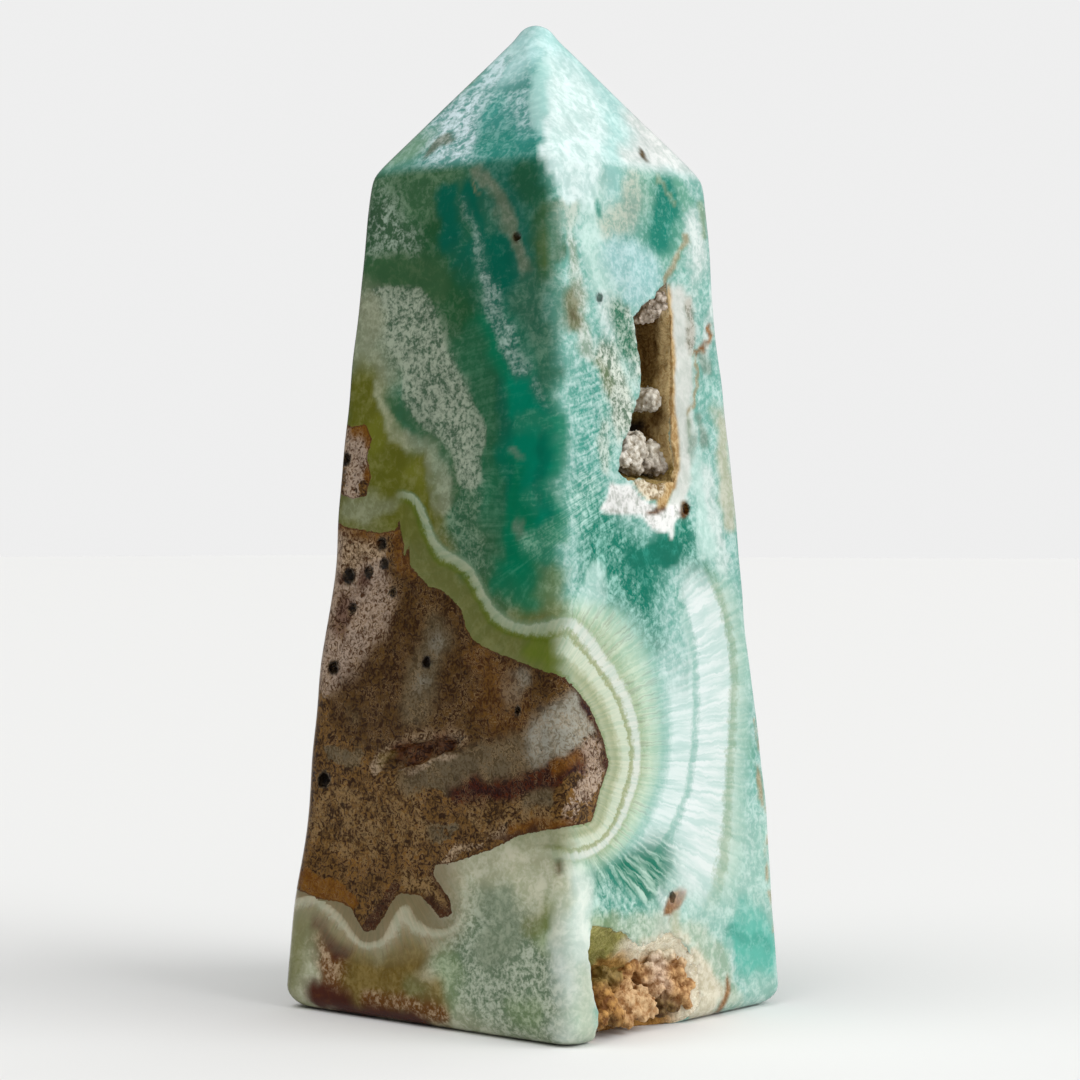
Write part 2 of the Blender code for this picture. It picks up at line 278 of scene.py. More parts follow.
# The hollows and pores
# Two crystal-lined hollows open in the +X face, a long shallow pit and scattered pores in the
# brown matrix. They grew in the rock and were laid open when the stone was cut.
POCKET_RIM = (
    (4.9, 73.4), (2.6, 71.7), (0.4, 70.6), (-1.1, 69.4), (-0.8, 67.2), (-0.5, 63.8),
    (-0.9, 62.3), (-1.8, 60.8), (-2.7, 58.8), (-4.3, 56.8), (-5.4, 54.1), (-3.6, 53.2),
    (-1.8, 53.5), (0.7, 53.0), (3.6, 53.3), (4.3, 54.5), (4.0, 57.5), (4.3, 61.5), (5.0, 68.6),
)
POCKET_PIVOT = (1.8, 62.0)
POCKET_RINGS = ((-1.0, 1.0), (0.5, 1.0), (2.6, 0.95), (4.4, 0.85), (5.6, 0.62))
FOOT_RIM = (
    (-13.5, -1.5), (-13.3, 2.9), (-13.8, 5.5), (-14.2, 8.6), (-13.2, 10.7), (-9.6, 10.2),
    (-8.0, 9.2), (-6.4, 8.4), (-4.6, 8.4), (-2.2, 8.9), (0.2, 8.2), (2.0, 6.4), (2.7, 4.2),
    (2.5, 2.2), (1.9, -1.5),
)
FOOT_PIVOT = (-10.6, -1.5)
FOOT_RINGS = ((-1.0, 1.1), (-0.1, 1.05), (0.5, 0.98), (1.8, 0.86), (3.4, 0.66), (4.6, 0.42))
PIT_RIM = (
    (-6.8, 25.2), (-5.6, 26.4), (-3.9, 27.3), (0.0, 28.2), (4.5, 28.4),
    (3.6, 27.3), (1.4, 26.5), (-1.0, 25.6), (-3.8, 24.8), (-5.8, 24.6),
)
PIT_PIVOT = (-1.5, 26.5)
PIT_RINGS = ((-0.6, 1.0), (0.2, 1.0), (0.9, 0.72))
PORES = (
    ("-Y", -0.9, 35.5, 0.55), ("-Y", -14.2, 23.2, 0.8), ("-Y", -12.0, 43.8, 0.7),
    ("-Y", -9.3, 44.3, 0.55), ("-Y", -7.2, 45.1, 0.5), ("-Y", -7.6, 47.1, 0.6),
    ("-Y", -11.3, 40.6, 0.5), ("-Y", -5.9, 42.3, 0.45), ("-Y", -13.4, 34.6, 0.7),
    ("-Y", 8.8, 76.7, 0.45), ("-Y", 11.1, 31.2, 0.4), ("-Y", -12.9, 55.6, 0.6),
    ("+X", -6.4, 71.0, 0.5), ("+X", -0.8, 12.6, 0.6), ("+X", 5.4, 50.6, 0.7),
    ("-X", -9.0, 39.0, 0.8), ("-X", -5.5, 45.5, 0.6), ("-X", -11.0, 27.5, 0.9),
    ("-X", -3.0, 31.0, 0.6), ("-X", -7.0, 19.0, 0.7), ("-X", 2.0, 24.0, 0.5),
    ("+Y", 6.0, 33.0, 0.6), ("+Y", -4.0, 58.0, 0.5),
)
PORE_SINK = 0.35
PORE_ROUGHNESS = 0.25
PORE_GRAIN = 0.5
HOLLOW_NOISE = ((1.6, 1.0), (0.7, 0.7), (0.35, 0.42))


def on_side(side, across, height, depth):
    """A point under a side face, by its place on the face and its depth under it."""
    sign = 1 if side[0] == "+" else -1
    out = float(side_reach(side, height)) - sign * depth
    return Vector((out, across, height)) if side[1] == "X" else Vector((across, out, height))


def hollow(side, rim, pivot, steps, cuts, roughness):
    """The space of a hollow: its rim pushed in ring by ring, then roughened like broken rock."""
    bm = bmesh.new()
    loops = []
    for depth, share in steps:
        loops.append([bm.verts.new(on_side(side, pivot[0] + (across - pivot[0]) * share,
                                           pivot[1] + (height - pivot[1]) * share, depth))
                      for across, height in rim])
    bm.faces.new(loops[0])
    bm.faces.new(loops[-1])
    for near, far in zip(loops, loops[1:]):
        for index in range(len(rim)):
            bm.faces.new((near[index - 1], near[index], far[index], far[index - 1]))
    bmesh.ops.triangulate(bm, faces=[face for face in bm.faces if len(face.verts) > 4])
    for grain, amount in HOLLOW_NOISE:
        bmesh.ops.subdivide_edges(bm, edges=bm.edges, cuts=cuts, use_grid_fill=True)
        bmesh.ops.recalc_face_normals(bm, faces=bm.faces)
        bm.normal_update()
        for vert in bm.verts:
            vert.co += vert.normal * roughness * amount * noise.noise(vert.co / grain)
    bmesh.ops.triangulate(bm, faces=bm.faces)
    return bm


def pore_shapes():
    bm = bmesh.new()
    for side, across, height, radius in PORES:
        made = bmesh.ops.create_icosphere(bm, subdivisions=3, radius=radius)
        bmesh.ops.translate(bm, verts=made["verts"],
                            vec=on_side(side, across, height, radius * PORE_SINK))
    bm.normal_update()
    for vert in bm.verts:
        vert.co += vert.normal * PORE_ROUGHNESS * noise.noise(vert.co / PORE_GRAIN)
    return bm


cutters = (
    hollow("+X", POCKET_RIM, POCKET_PIVOT, POCKET_RINGS, 1, 0.4),
    hollow("+X", FOOT_RIM, FOOT_PIVOT, FOOT_RINGS, 1, 0.36),
    hollow("-Y", PIT_RIM, PIT_PIVOT, PIT_RINGS, 1, 0.35),
    pore_shapes(),
)
for index, bm in enumerate(cutters):
    bmesh.ops.recalc_face_normals(bm, faces=bm.faces)
    bmesh.ops.scale(bm, vec=(MM, MM, MM), verts=bm.verts)
    cutter_mesh = bpy.data.meshes.new("hollow_%d" % index)
    bm.to_mesh(cutter_mesh)
    bm.free()
    cutter = bpy.data.objects.new("hollow_%d" % index, cutter_mesh)
    bpy.context.scene.collection.objects.link(cutter)
    opened = stone.modifiers.new(cutter.name, "BOOLEAN")
    opened.object = cutter
    opened.operation = "DIFFERENCE"
    opened.solver = "MANIFOLD"
cut_mesh = bpy.data.meshes.new_from_object(stone.evaluated_get(
    bpy.context.evaluated_depsgraph_get()))
stone.modifiers.clear()
stone.data = cut_mesh
for index in range(len(cutters)):
    bpy.data.objects.remove(bpy.data.objects["hollow_%d" % index])

# The markings
# Bands, fibres, stains and the brown matrix grew inside the rock. They are drawn where the
# photograph shows them, by its pixels, and kept on the stone's own points, so that they stay
# in place from every side. On the two hidden faces they are placed in millimetres.
# A few drawn marks are painted light: a highlight beside the front edge, a glow along the lower left
# corner, and shade in the tall hollow's gap and in the pores.
FOCUS = LENS / SENSOR * PHOTO_SIZE
HIDDEN_SCALE = {"-X": 7.9, "+Y": 6.6}
HIDDEN_BLEND = 4.0
PIXELS_PER_MM = 6.0
STROKE_CORE = 0.3
EDGE_BLEND = (-1.4, 1.8)
EDGE_WANDER = 1.6
WANDER_SEED = 31
SLOW_WANDER = (3.1, 1.1)
QUICK_WANDER = (0.9, 0.4)
TIP_BLEND_START = 0.5
TIP_BLEND = 2.0
TIP_HOLD = 0.8
PORE_SHADE = 0.4
PORE_REACH = 1.3
PORE_FADE = 0.2
CLEAR_EDGE = 4.0
CLEAR_WANDER = 2.5
FIBRE_STEP = 6.0
FIBRE_PULL = 20
LAST_BAND_WIDTH = 40
HOLLOW_MARGIN = 1.2
HOLLOW_SKIN = 0.1
HOLLOW_KEPT = 6.0
HOLLOW_DEEPEST = 9.0
FOOT_TOP = 12
FOOT_ROCK = 9.0
POCKET_ROCK = 1.5
ROCK_INSET = 0.3
ROCK_KEPT = 3

# Each finish of the translucent stone: the colour deep in it, the veil over that, how much the
# veil covers, how far it lies in fibres, and how far in soft clouds.
STONE_FINISHES = {
    "sea_green": ((0.035, 0.16, 0.09), (0.12, 0.27, 0.18), 0.3, 0.3, 0.3),
    "forest": ((0.018, 0.088, 0.032), (0.06, 0.13, 0.065), 0.35, 0.0, 0.6),
    "forest_light": ((0.05, 0.13, 0.06), (0.13, 0.23, 0.13), 0.45, 0.0, 0.4),
    "olive_dark": ((0.035, 0.1, 0.04), (0.07, 0.13, 0.06), 0.3, 0.0, 0.6),
    "dark_sea": ((0.012, 0.115, 0.075), (0.06, 0.19, 0.14), 0.35, 0.2, 0.5),
    "dark_teal": ((0.002, 0.105, 0.066), (0.05, 0.18, 0.13), 0.15, 0.3, 0.2),
    "emerald": ((0.001, 0.15, 0.072), (0.03, 0.215, 0.125), 0.2, 0.5, 0.3),
    "emerald_bright": ((0.0, 0.19, 0.11), (0.015, 0.235, 0.145), 0.15, 0.4, 0.5),
    "green_fibre": ((0.02, 0.105, 0.048), (0.06, 0.165, 0.09), 0.4, 0.4, 0.3),
    "grey_speckle": ((0.045, 0.1, 0.052), (0.3, 0.38, 0.3), 0.4, 0.0, 0.0),
    "frost": ((0.065, 0.115, 0.07), (0.32, 0.37, 0.28), 0.55, 0.0, 0.0),
    "frost_green": ((0.035, 0.11, 0.055), (0.16, 0.25, 0.16), 0.42, 0.1, 0.0),
    "smoky": ((0.23, 0.25, 0.16), (0.32, 0.35, 0.24), 0.45, 0.0, 0.2),
    "feather": ((0.03, 0.13, 0.095), (0.36, 0.46, 0.41), 0.46, 0.3, 0.0),
    "grey_green": ((0.03, 0.12, 0.07), (0.11, 0.21, 0.14), 0.4, 0.2, 0.4),
    "beige_streak": ((0.12, 0.16, 0.1), (0.2, 0.22, 0.155), 0.5, 0.0, 0.4),
    "yellow_olive": ((0.105, 0.11, 0.012), (0.165, 0.17, 0.045), 0.34, 0.0, 0.8),
    "olive_spot": ((0.15, 0.16, 0.02), (0.2, 0.2, 0.06), 0.2, 0.0, 0.6),
    "pale_line": ((0.26, 0.29, 0.17), (0.36, 0.38, 0.25), 0.5, 0.2, 0.0),
    "sage": ((0.115, 0.12, 0.032), (0.18, 0.185, 0.075), 0.42, 0.1, 0.4),
    "lime": ((0.095, 0.15, 0.001), (0.125, 0.165, 0.012), 0.25, 0.1, 0.5),
    "tan_spot": ((0.12, 0.12, 0.05), (0.2, 0.2, 0.11), 0.4, 0.0, 0.2),
    "brown_spot": ((0.07, 0.045, 0.012), (0.13, 0.09, 0.04), 0.2, 0.0, 0.0),
    "pink_spot": ((0.2, 0.22, 0.17), (0.31, 0.27, 0.23), 0.5, 0.0, 0.0),
    "mint_mottle": ((0.035, 0.2, 0.115), (0.22, 0.42, 0.3), 0.42, 0.3, 0.1),
    "cream_mint": ((0.38, 0.4, 0.26), (0.54, 0.54, 0.4), 0.5, 0.0, 0.6),
    "mint_speckle": ((0.12, 0.18, 0.105), (0.42, 0.47, 0.36), 0.5, 0.0, 0.0),
    "grey_mint": ((0.17, 0.22, 0.14), (0.27, 0.32, 0.22), 0.5, 0.0, 0.1),
    "green_tint": ((0.16, 0.23, 0.1), (0.28, 0.36, 0.2), 0.4, 0.0, 0.5),
    "cream_column": ((0.4, 0.48, 0.37), (0.52, 0.57, 0.46), 0.5, 0.0, 0.6),
    "column_white": ((0.54, 0.63, 0.56), (0.64, 0.7, 0.63), 0.5, 0.0, 0.7),
    "olive_low": ((0.13, 0.08, 0.006), (0.22, 0.155, 0.04), 0.44, 0.0, 0.5),
    "rust_low": ((0.12, 0.038, 0.0), (0.46, 0.33, 0.2), 0.34, 0.0, 0.0),
    "maroon": ((0.055, 0.007, 0.0), (0.085, 0.018, 0.0), 0.25, 0.0, 0.4),
    # Painted light: the paler glow of light coming through the thin stone at the lower left corner.
    "corner_green": ((0.19, 0.19, 0.08), (0.25, 0.25, 0.13), 0.4, 0.0, 0.5),
    "tip_teal": ((0.05, 0.28, 0.24), (0.22, 0.46, 0.42), 0.4, 0.0, 0.4),
    "apex_aqua": ((0.38, 0.64, 0.62), (0.56, 0.78, 0.77), 0.5, 0.0, 0.8),
    "tip_aqua": ((0.32, 0.56, 0.53), (0.46, 0.68, 0.65), 0.4, 0.0, 0.9),
    "white_speckle": ((0.13, 0.33, 0.3), (0.64, 0.77, 0.8), 0.52, 0.0, 0.45),
    "tip_mint": ((0.17, 0.33, 0.22), (0.29, 0.45, 0.35), 0.4, 0.0, 0.4),
    "grey_brown": ((0.13, 0.15, 0.1), (0.25, 0.27, 0.2), 0.4, 0.0, 0.0),
    "lens_mint": ((0.33, 0.57, 0.53), (0.4, 0.63, 0.59), 0.4, 0.0, 1.0),
    "tip_pale": ((0.38, 0.58, 0.55), (0.56, 0.72, 0.7), 0.48, 0.0, 0.8),
    "white_lobe": ((0.46, 0.63, 0.6), (0.66, 0.78, 0.76), 0.52, 0.0, 1.0),
    "rose_white": ((0.5, 0.55, 0.52), (0.68, 0.69, 0.67), 0.5, 0.0, 0.7),
    "pale_aqua": ((0.14, 0.36, 0.3), (0.42, 0.59, 0.55), 0.46, 0.2, 0.4),
    # Painted highlight: the pale sheen that runs down beside the front edge.
    "pale_streak": ((0.24, 0.33, 0.25), (0.56, 0.62, 0.56), 0.5, 0.0, 0.5),
    "beige_mottle": ((0.26, 0.38, 0.31), (0.48, 0.52, 0.42), 0.55, 0.0, 0.3),
    "teal_patch": ((0.005, 0.19, 0.135), (0.1, 0.33, 0.27), 0.3, 0.0, 0.4),
    "teal_veiled": ((0.12, 0.33, 0.24), (0.3, 0.5, 0.42), 0.4, 0.0, 0.4),
    "blue_pale": ((0.26, 0.48, 0.47), (0.44, 0.62, 0.62), 0.5, 0.0, 0.4),
    "white_upright": ((0.4, 0.53, 0.49), (0.64, 0.71, 0.68), 0.55, 0.0, 0.5),
    "tan_line": ((0.3, 0.24, 0.13), (0.42, 0.36, 0.24), 0.4, 0.0, 0.0),
    "emerald_mottle": ((0.03, 0.15, 0.085), (0.34, 0.45, 0.37), 0.42, 0.0, 0.1),
    "grey_mottle": ((0.11, 0.18, 0.12), (0.6, 0.65, 0.57), 0.54, 0.0, 0.1),
    "white_fibres": ((0.05, 0.28, 0.22), (0.44, 0.62, 0.58), 0.46, 0.45, 0.1),
    "aqua_fibres": ((0.05, 0.26, 0.195), (0.46, 0.64, 0.58), 0.45, 0.4, 0.1),
    "powder": ((0.4, 0.42, 0.38), (0.76, 0.76, 0.74), 0.7, 0.0, 0.5),
    "ledge_cream": ((0.2, 0.125, 0.045), (0.7, 0.62, 0.47), 0.6, 0.0, 0.2),
    "ledge_amber": ((0.34, 0.2, 0.07), (0.55, 0.4, 0.2), 0.5, 0.0, 0.3),
    "foot_rim_cream": ((0.5, 0.45, 0.32), (0.64, 0.6, 0.48), 0.55, 0.0, 0.4),
    "dark_amber": ((0.07, 0.02, 0.001), (0.17, 0.08, 0.015), 0.4, 0.0, 0.2),
    "white_smooth": ((0.5, 0.54, 0.49), (0.6, 0.62, 0.58), 0.5, 0.0, 0.9),
    "grey_granule": ((0.2, 0.2, 0.15), (0.48, 0.47, 0.41), 0.6, 0.0, 0.0),
    "grey_green_spot": ((0.16, 0.25, 0.2), (0.28, 0.36, 0.3), 0.4, 0.0, 0.4),
    "beige_far": ((0.38, 0.41, 0.29), (0.5, 0.51, 0.41), 0.5, 0.0, 0.4),
    "aqua_smooth": ((0.38, 0.58, 0.52), (0.52, 0.68, 0.63), 0.5, 0.1, 0.7),
    "teal_deep": ((0.0, 0.14, 0.09), (0.02, 0.24, 0.175), 0.3, 0.1, 0.6),
    "teal_wisps": ((0.002, 0.16, 0.105), (0.27, 0.52, 0.45), 0.36, 0.3, 0.2),
    "teal_wedge": ((0.01, 0.16, 0.1), (0.42, 0.6, 0.5), 0.3, 0.95, 0.0),
    "aqua_low": ((0.26, 0.46, 0.39), (0.48, 0.64, 0.58), 0.45, 0.2, 0.5),
    "aqua_patch": ((0.1, 0.41, 0.33), (0.2, 0.48, 0.41), 0.35, 0.0, 0.8),
    "amber_line": ((0.36, 0.24, 0.12), (0.46, 0.34, 0.2), 0.4, 0.0, 0.0),
    "rust_vein": ((0.2, 0.08, 0.02), (0.34, 0.18, 0.07), 0.4, 0.0, 0.0),
}
# Each finish of the opaque rock, in the matrix and in the hollows: its dark grains, its light
# grains, and how much of it is light.
ROCK_FINISHES = {
    "brown": ((0.022, 0.007, 0.0), (0.175, 0.09, 0.022), 0.45),
    "brown_light": ((0.04, 0.016, 0.001), (0.24, 0.145, 0.055), 0.48),
    "brown_dark": ((0.026, 0.008, 0.0), (0.1, 0.05, 0.01), 0.4),
    "pinkish": ((0.07, 0.03, 0.01), (0.38, 0.29, 0.22), 0.58),
    "lilac": ((0.07, 0.046, 0.018), (0.128, 0.097, 0.055), 0.55),
    "blue_grey": ((0.16, 0.135, 0.09), (0.29, 0.28, 0.23), 0.6),
    "red_streak": ((0.018, 0.002, 0.0), (0.075, 0.014, 0.0), 0.4),
    "amber": ((0.07, 0.022, 0.001), (0.16, 0.07, 0.008), 0.4),
    "amber_bright": ((0.12, 0.042, 0.002), (0.18, 0.075, 0.006), 0.45),
    "dark_rim": ((0.03, 0.008, 0.001), (0.06, 0.018, 0.004), 0.3),
    "pale_rim": ((0.12, 0.075, 0.04), (0.36, 0.27, 0.18), 0.5),
    "pit_red": ((0.03, 0.006, 0.0), (0.14, 0.05, 0.015), 0.4),
    "straw": ((0.05, 0.02, 0.004), (0.4, 0.29, 0.18), 0.45),
    "tan_wall": ((0.36, 0.22, 0.075), (0.62, 0.47, 0.24), 0.6),
    "olive_wall": ((0.13, 0.082, 0.012), (0.28, 0.195, 0.06), 0.5),
    "hollow_wall": ((0.15, 0.09, 0.012), (0.4, 0.29, 0.11), 0.52),
    "rust_wall": ((0.07, 0.028, 0.003), (0.22, 0.14, 0.045), 0.45),
    # Painted shade: near-black for the shadowed gap at the tall hollow's overhung left wall and for
    # the inside of the pores.
    "black_gap": ((0.008, 0.005, 0.003), (0.03, 0.02, 0.01), 0.3),
    "facet_grey": ((0.3, 0.3, 0.26), (0.4, 0.39, 0.35), 0.5),
    "granular_cream": ((0.26, 0.19, 0.12), (0.72, 0.66, 0.56), 0.6),
    "orange": ((0.16, 0.055, 0.004), (0.55, 0.29, 0.08), 0.6),
    "foot_olive": ((0.2, 0.19, 0.045), (0.36, 0.33, 0.12), 0.5),
    "foot_cream": ((0.6, 0.52, 0.36), (0.8, 0.75, 0.6), 0.6),
    "coral": ((0.26, 0.2, 0.12), (0.82, 0.78, 0.69), 0.76),
    "grey_lump": ((0.08, 0.055, 0.035), (0.33, 0.28, 0.23), 0.7),
    "nodule": ((0.3, 0.24, 0.16), (0.8, 0.76, 0.66), 0.8),
    "top_crystal": ((0.16, 0.11, 0.06), (0.86, 0.76, 0.66), 0.72),
    "amber_lump": ((0.2, 0.075, 0.01), (0.66, 0.4, 0.18), 0.66),
    "pink_grain": ((0.22, 0.11, 0.045), (0.8, 0.62, 0.48), 0.62),
    "cream_block": ((0.3, 0.13, 0.03), (0.7, 0.48, 0.26), 0.68),
}

# Strokes on the two faces that the camera sees: the finish, how strong it is, how far it
# reaches in pixels, and the points that it runs through.
LEFT_TIP_STROKES = (
    ("tip_teal", 1.0, 90, (400, 150), (470, 115), (530, 60)),
    ("apex_aqua", 1.0, 34, (538, 28), (524, 44), (512, 58)),
    ("tip_mint", 0.9, 15, (478, 74), (446, 100), (404, 138)),
    ("tip_aqua", 0.7, 16, (492, 62), (506, 56)),
    ("white_speckle", 1.0, 32, (462, 112), (448, 132), (456, 154)),
    ("white_speckle", 0.8, 15, (442, 122), (430, 140)),
    ("tip_mint", 1.0, 24, (376, 174), (394, 158), (408, 146)),
    ("white_speckle", 0.7, 14, (498, 68), (490, 78)),
    ("white_speckle", 0.5, 20, (522, 88), (510, 108), (526, 134)),
    ("grey_brown", 0.8, 7, (446, 138), (436, 144), (428, 152)),
    ("tip_teal", 1.0, 18, (490, 112), (500, 146), (538, 152)),
    ("teal_patch", 0.5, 15, (488, 140), (510, 156), (540, 156)),
)
RIGHT_TIP_STROKES = (
    ("tip_pale", 1.0, 120, (570, 90), (640, 160)),
    ("apex_aqua", 0.8, 26, (542, 30), (556, 48)),
    ("tip_aqua", 0.7, 18, (566, 44), (590, 70), (616, 100)),
    ("white_lobe", 0.6, 30, (560, 70), (590, 120), (590, 168)),
    ("tip_aqua", 0.7, 14, (608, 100), (618, 132), (614, 165)),
    ("rose_white", 0.9, 26, (646, 126), (656, 150), (642, 172)),
    ("rose_white", 0.8, 18, (664, 134), (692, 168)),
    ("brown_spot", 1.0, 6, (643, 152), (644, 158)),
)
LEFT_STROKES = (
    ("cream_mint", 1.0, 130, (340, 1000), (560, 980)),
    ("sage", 1.0, 60, (345, 500), (410, 545), (480, 625), (560, 660)),
    ("sage", 0.8, 40, (320, 905), (440, 915), (560, 850)),
    ("forest", 1.0, 55, (372, 190), (410, 190), (440, 200)),
    ("forest", 1.0, 55, (385, 210), (400, 285)),
    ("dark_sea", 1.0, 55, (505, 175), (520, 250), (548, 330)),
    ("forest_light", 0.7, 26, (374, 192), (410, 192), (450, 182)),
    ("grey_speckle", 0.9, 30, (380, 222), (384, 238), (394, 250)),
    ("dark_teal", 1.0, 12, (447, 196), (449, 238)),
    ("dark_teal", 0.9, 13, (462, 258), (463, 292), (476, 330)),
    ("dark_teal", 0.9, 18, (500, 372), (520, 392)),
    ("dark_teal", 1.0, 11, (468, 194), (481, 216), (494, 244), (503, 276)),
    ("feather", 0.55, 8, (474, 240), (480, 258), (486, 280)),
    ("feather", 0.3, 7, (462, 204), (470, 232)),
    ("beige_streak", 0.8, 8, (478, 166), (498, 198), (514, 236), (524, 268)),
    ("tan_line", 0.5, 2.5, (472, 182), (480, 196)),
    ("forest", 0.6, 14, (526, 176), (538, 206)),
    ("grey_green", 0.5, 10, (486, 206), (492, 224)),
    ("brown_spot", 0.9, 4.5, (517, 237), (519, 239)),
    ("olive_dark", 1.0, 15, (550, 216), (548, 276)),
    ("olive_spot", 0.2, 8, (546, 236), (545, 262)),
    ("forest", 1.0, 34, (442, 300), (468, 350), (492, 410)),
    ("frost", 1.0, 34, (396, 318), (414, 346), (436, 384)),
    ("frost", 1.0, 20, (368, 304), (410, 304)),
    ("frost", 1.0, 27, (436, 382), (458, 422), (468, 458), (464, 480)),
    ("frost_green", 1.0, 24, (464, 504), (462, 530), (472, 552)),
    ("olive_dark", 1.0, 20, (362, 272), (400, 274), (436, 280)),
    ("frost_green", 0.7, 18, (480, 570), (505, 596)),
    ("smoky", 0.9, 26, (362, 312), (360, 350), (376, 378)),
    ("yellow_olive", 1.0, 32, (358, 398), (372, 440), (396, 482), (405, 510)),
    ("yellow_olive", 1.0, 18, (418, 470), (424, 505)),
    ("olive_spot", 0.7, 12, (382, 424), (372, 440)),
    ("olive_spot", 0.7, 13, (412, 470), (420, 482)),
    ("smoky", 0.5, 11, (350, 508), (392, 504)),
    ("pale_line", 0.85, 8, (378, 394), (388, 418), (400, 444)),
    ("smoky", 0.7, 10, (408, 440), (430, 446), (438, 476), (442, 500)),
    ("olive_dark", 0.7, 8, (391, 398), (413, 419), (438, 438), (450, 458), (453, 496)),
    ("emerald", 1.0, 34, (490, 350), (516, 410), (512, 470)),
    ("green_fibre", 0.9, 20, (470, 350), (490, 405), (494, 440)),
    ("emerald_bright", 1.0, 34, (534, 400), (536, 460), (540, 520)),
    ("emerald", 1.0, 22, (506, 480), (520, 560)),
    ("dark_teal", 0.5, 9, (498, 396), (508, 448), (500, 505)),
    ("dark_teal", 0.45, 7, (544, 430), (540, 480), (548, 520)),
    ("mint_mottle", 0.4, 9, (518, 420), (548, 428)),
    ("mint_mottle", 0.35, 8, (532, 500), (556, 490)),
    ("green_fibre", 0.7, 12, (486, 450), (496, 500), (492, 548)),
    ("feather", 0.8, 11, (489, 284), (496, 314), (509, 342), (522, 371)),
    ("grey_green", 0.85, 22, (530, 298), (545, 335), (556, 374)),
    ("feather", 0.5, 7, (536, 388), (552, 412)),
    ("pink_spot", 0.4, 5, (518, 449), (521, 454)),
    ("pink_spot", 0.4, 4.5, (514, 523), (526, 536)),
    ("mint_mottle", 0.8, 16, (535, 545), (562, 532)),
    ("emerald", 0.8, 20, (505, 575), (530, 590)),
    ("green_tint", 0.45, 16, (548, 585), (556, 605)),
    ("yellow_olive", 0.9, 12, (410, 488), (420, 512)),
    ("sage", 1.0, 16, (420, 560), (470, 610), (500, 645), (540, 650)),
    ("lime", 1.0, 17, (538, 650), (560, 645), (552, 662)),
    ("cream_mint", 1.0, 44, (466, 880), (500, 874), (566, 868)),
    ("cream_mint", 1.0, 24, (462, 900), (440, 940), (400, 955)),
    ("mint_speckle", 1.0, 56, (480, 960), (530, 990)),
    ("grey_mint", 0.9, 20, (500, 905), (510, 935), (490, 950)),
    ("green_tint", 0.9, 14, (548, 935), (562, 905)),
    ("olive_spot", 0.5, 12, (535, 930), (552, 912)),
    ("green_tint", 0.6, 16, (450, 965), (446, 1000)),
    ("green_tint", 0.6, 14, (515, 1010), (530, 1020)),
    ("column_white", 1.0, 17, (578, 900), (574, 960), (577, 1034)),
    ("cream_mint", 0.6, 10, (560, 880), (566, 930)),
    ("olive_low", 1.0, 26, (350, 965), (380, 985), (412, 950)),
    ("olive_low", 0.9, 22, (350, 995), (400, 1000), (430, 1006)),
    ("sage", 0.7, 10, (408, 985), (420, 1000)),
    ("rust_low", 0.95, 17, (325, 945), (330, 972), (330, 990)),
    ("maroon", 1.0, 8, (318, 925), (342, 955)),
    ("rust_low", 0.9, 10, (370, 1000), (404, 1006), (440, 1016)),
    ("maroon", 1.0, 16, (316, 996), (330, 998), (344, 1004)),
    ("maroon", 1.0, 12, (316, 1008), (370, 1014), (426, 1024)),
    ("maroon", 1.0, 12, (426, 1026), (466, 1036)),
    # Painted light: a paler band along the lower left corner for light shining through the thin stone.
    ("corner_green", 1.0, 17, (297, 912), (294, 955), (298, 1004)),
    ("brown_spot", 0.8, 5, (557, 866), (557, 871)),
)
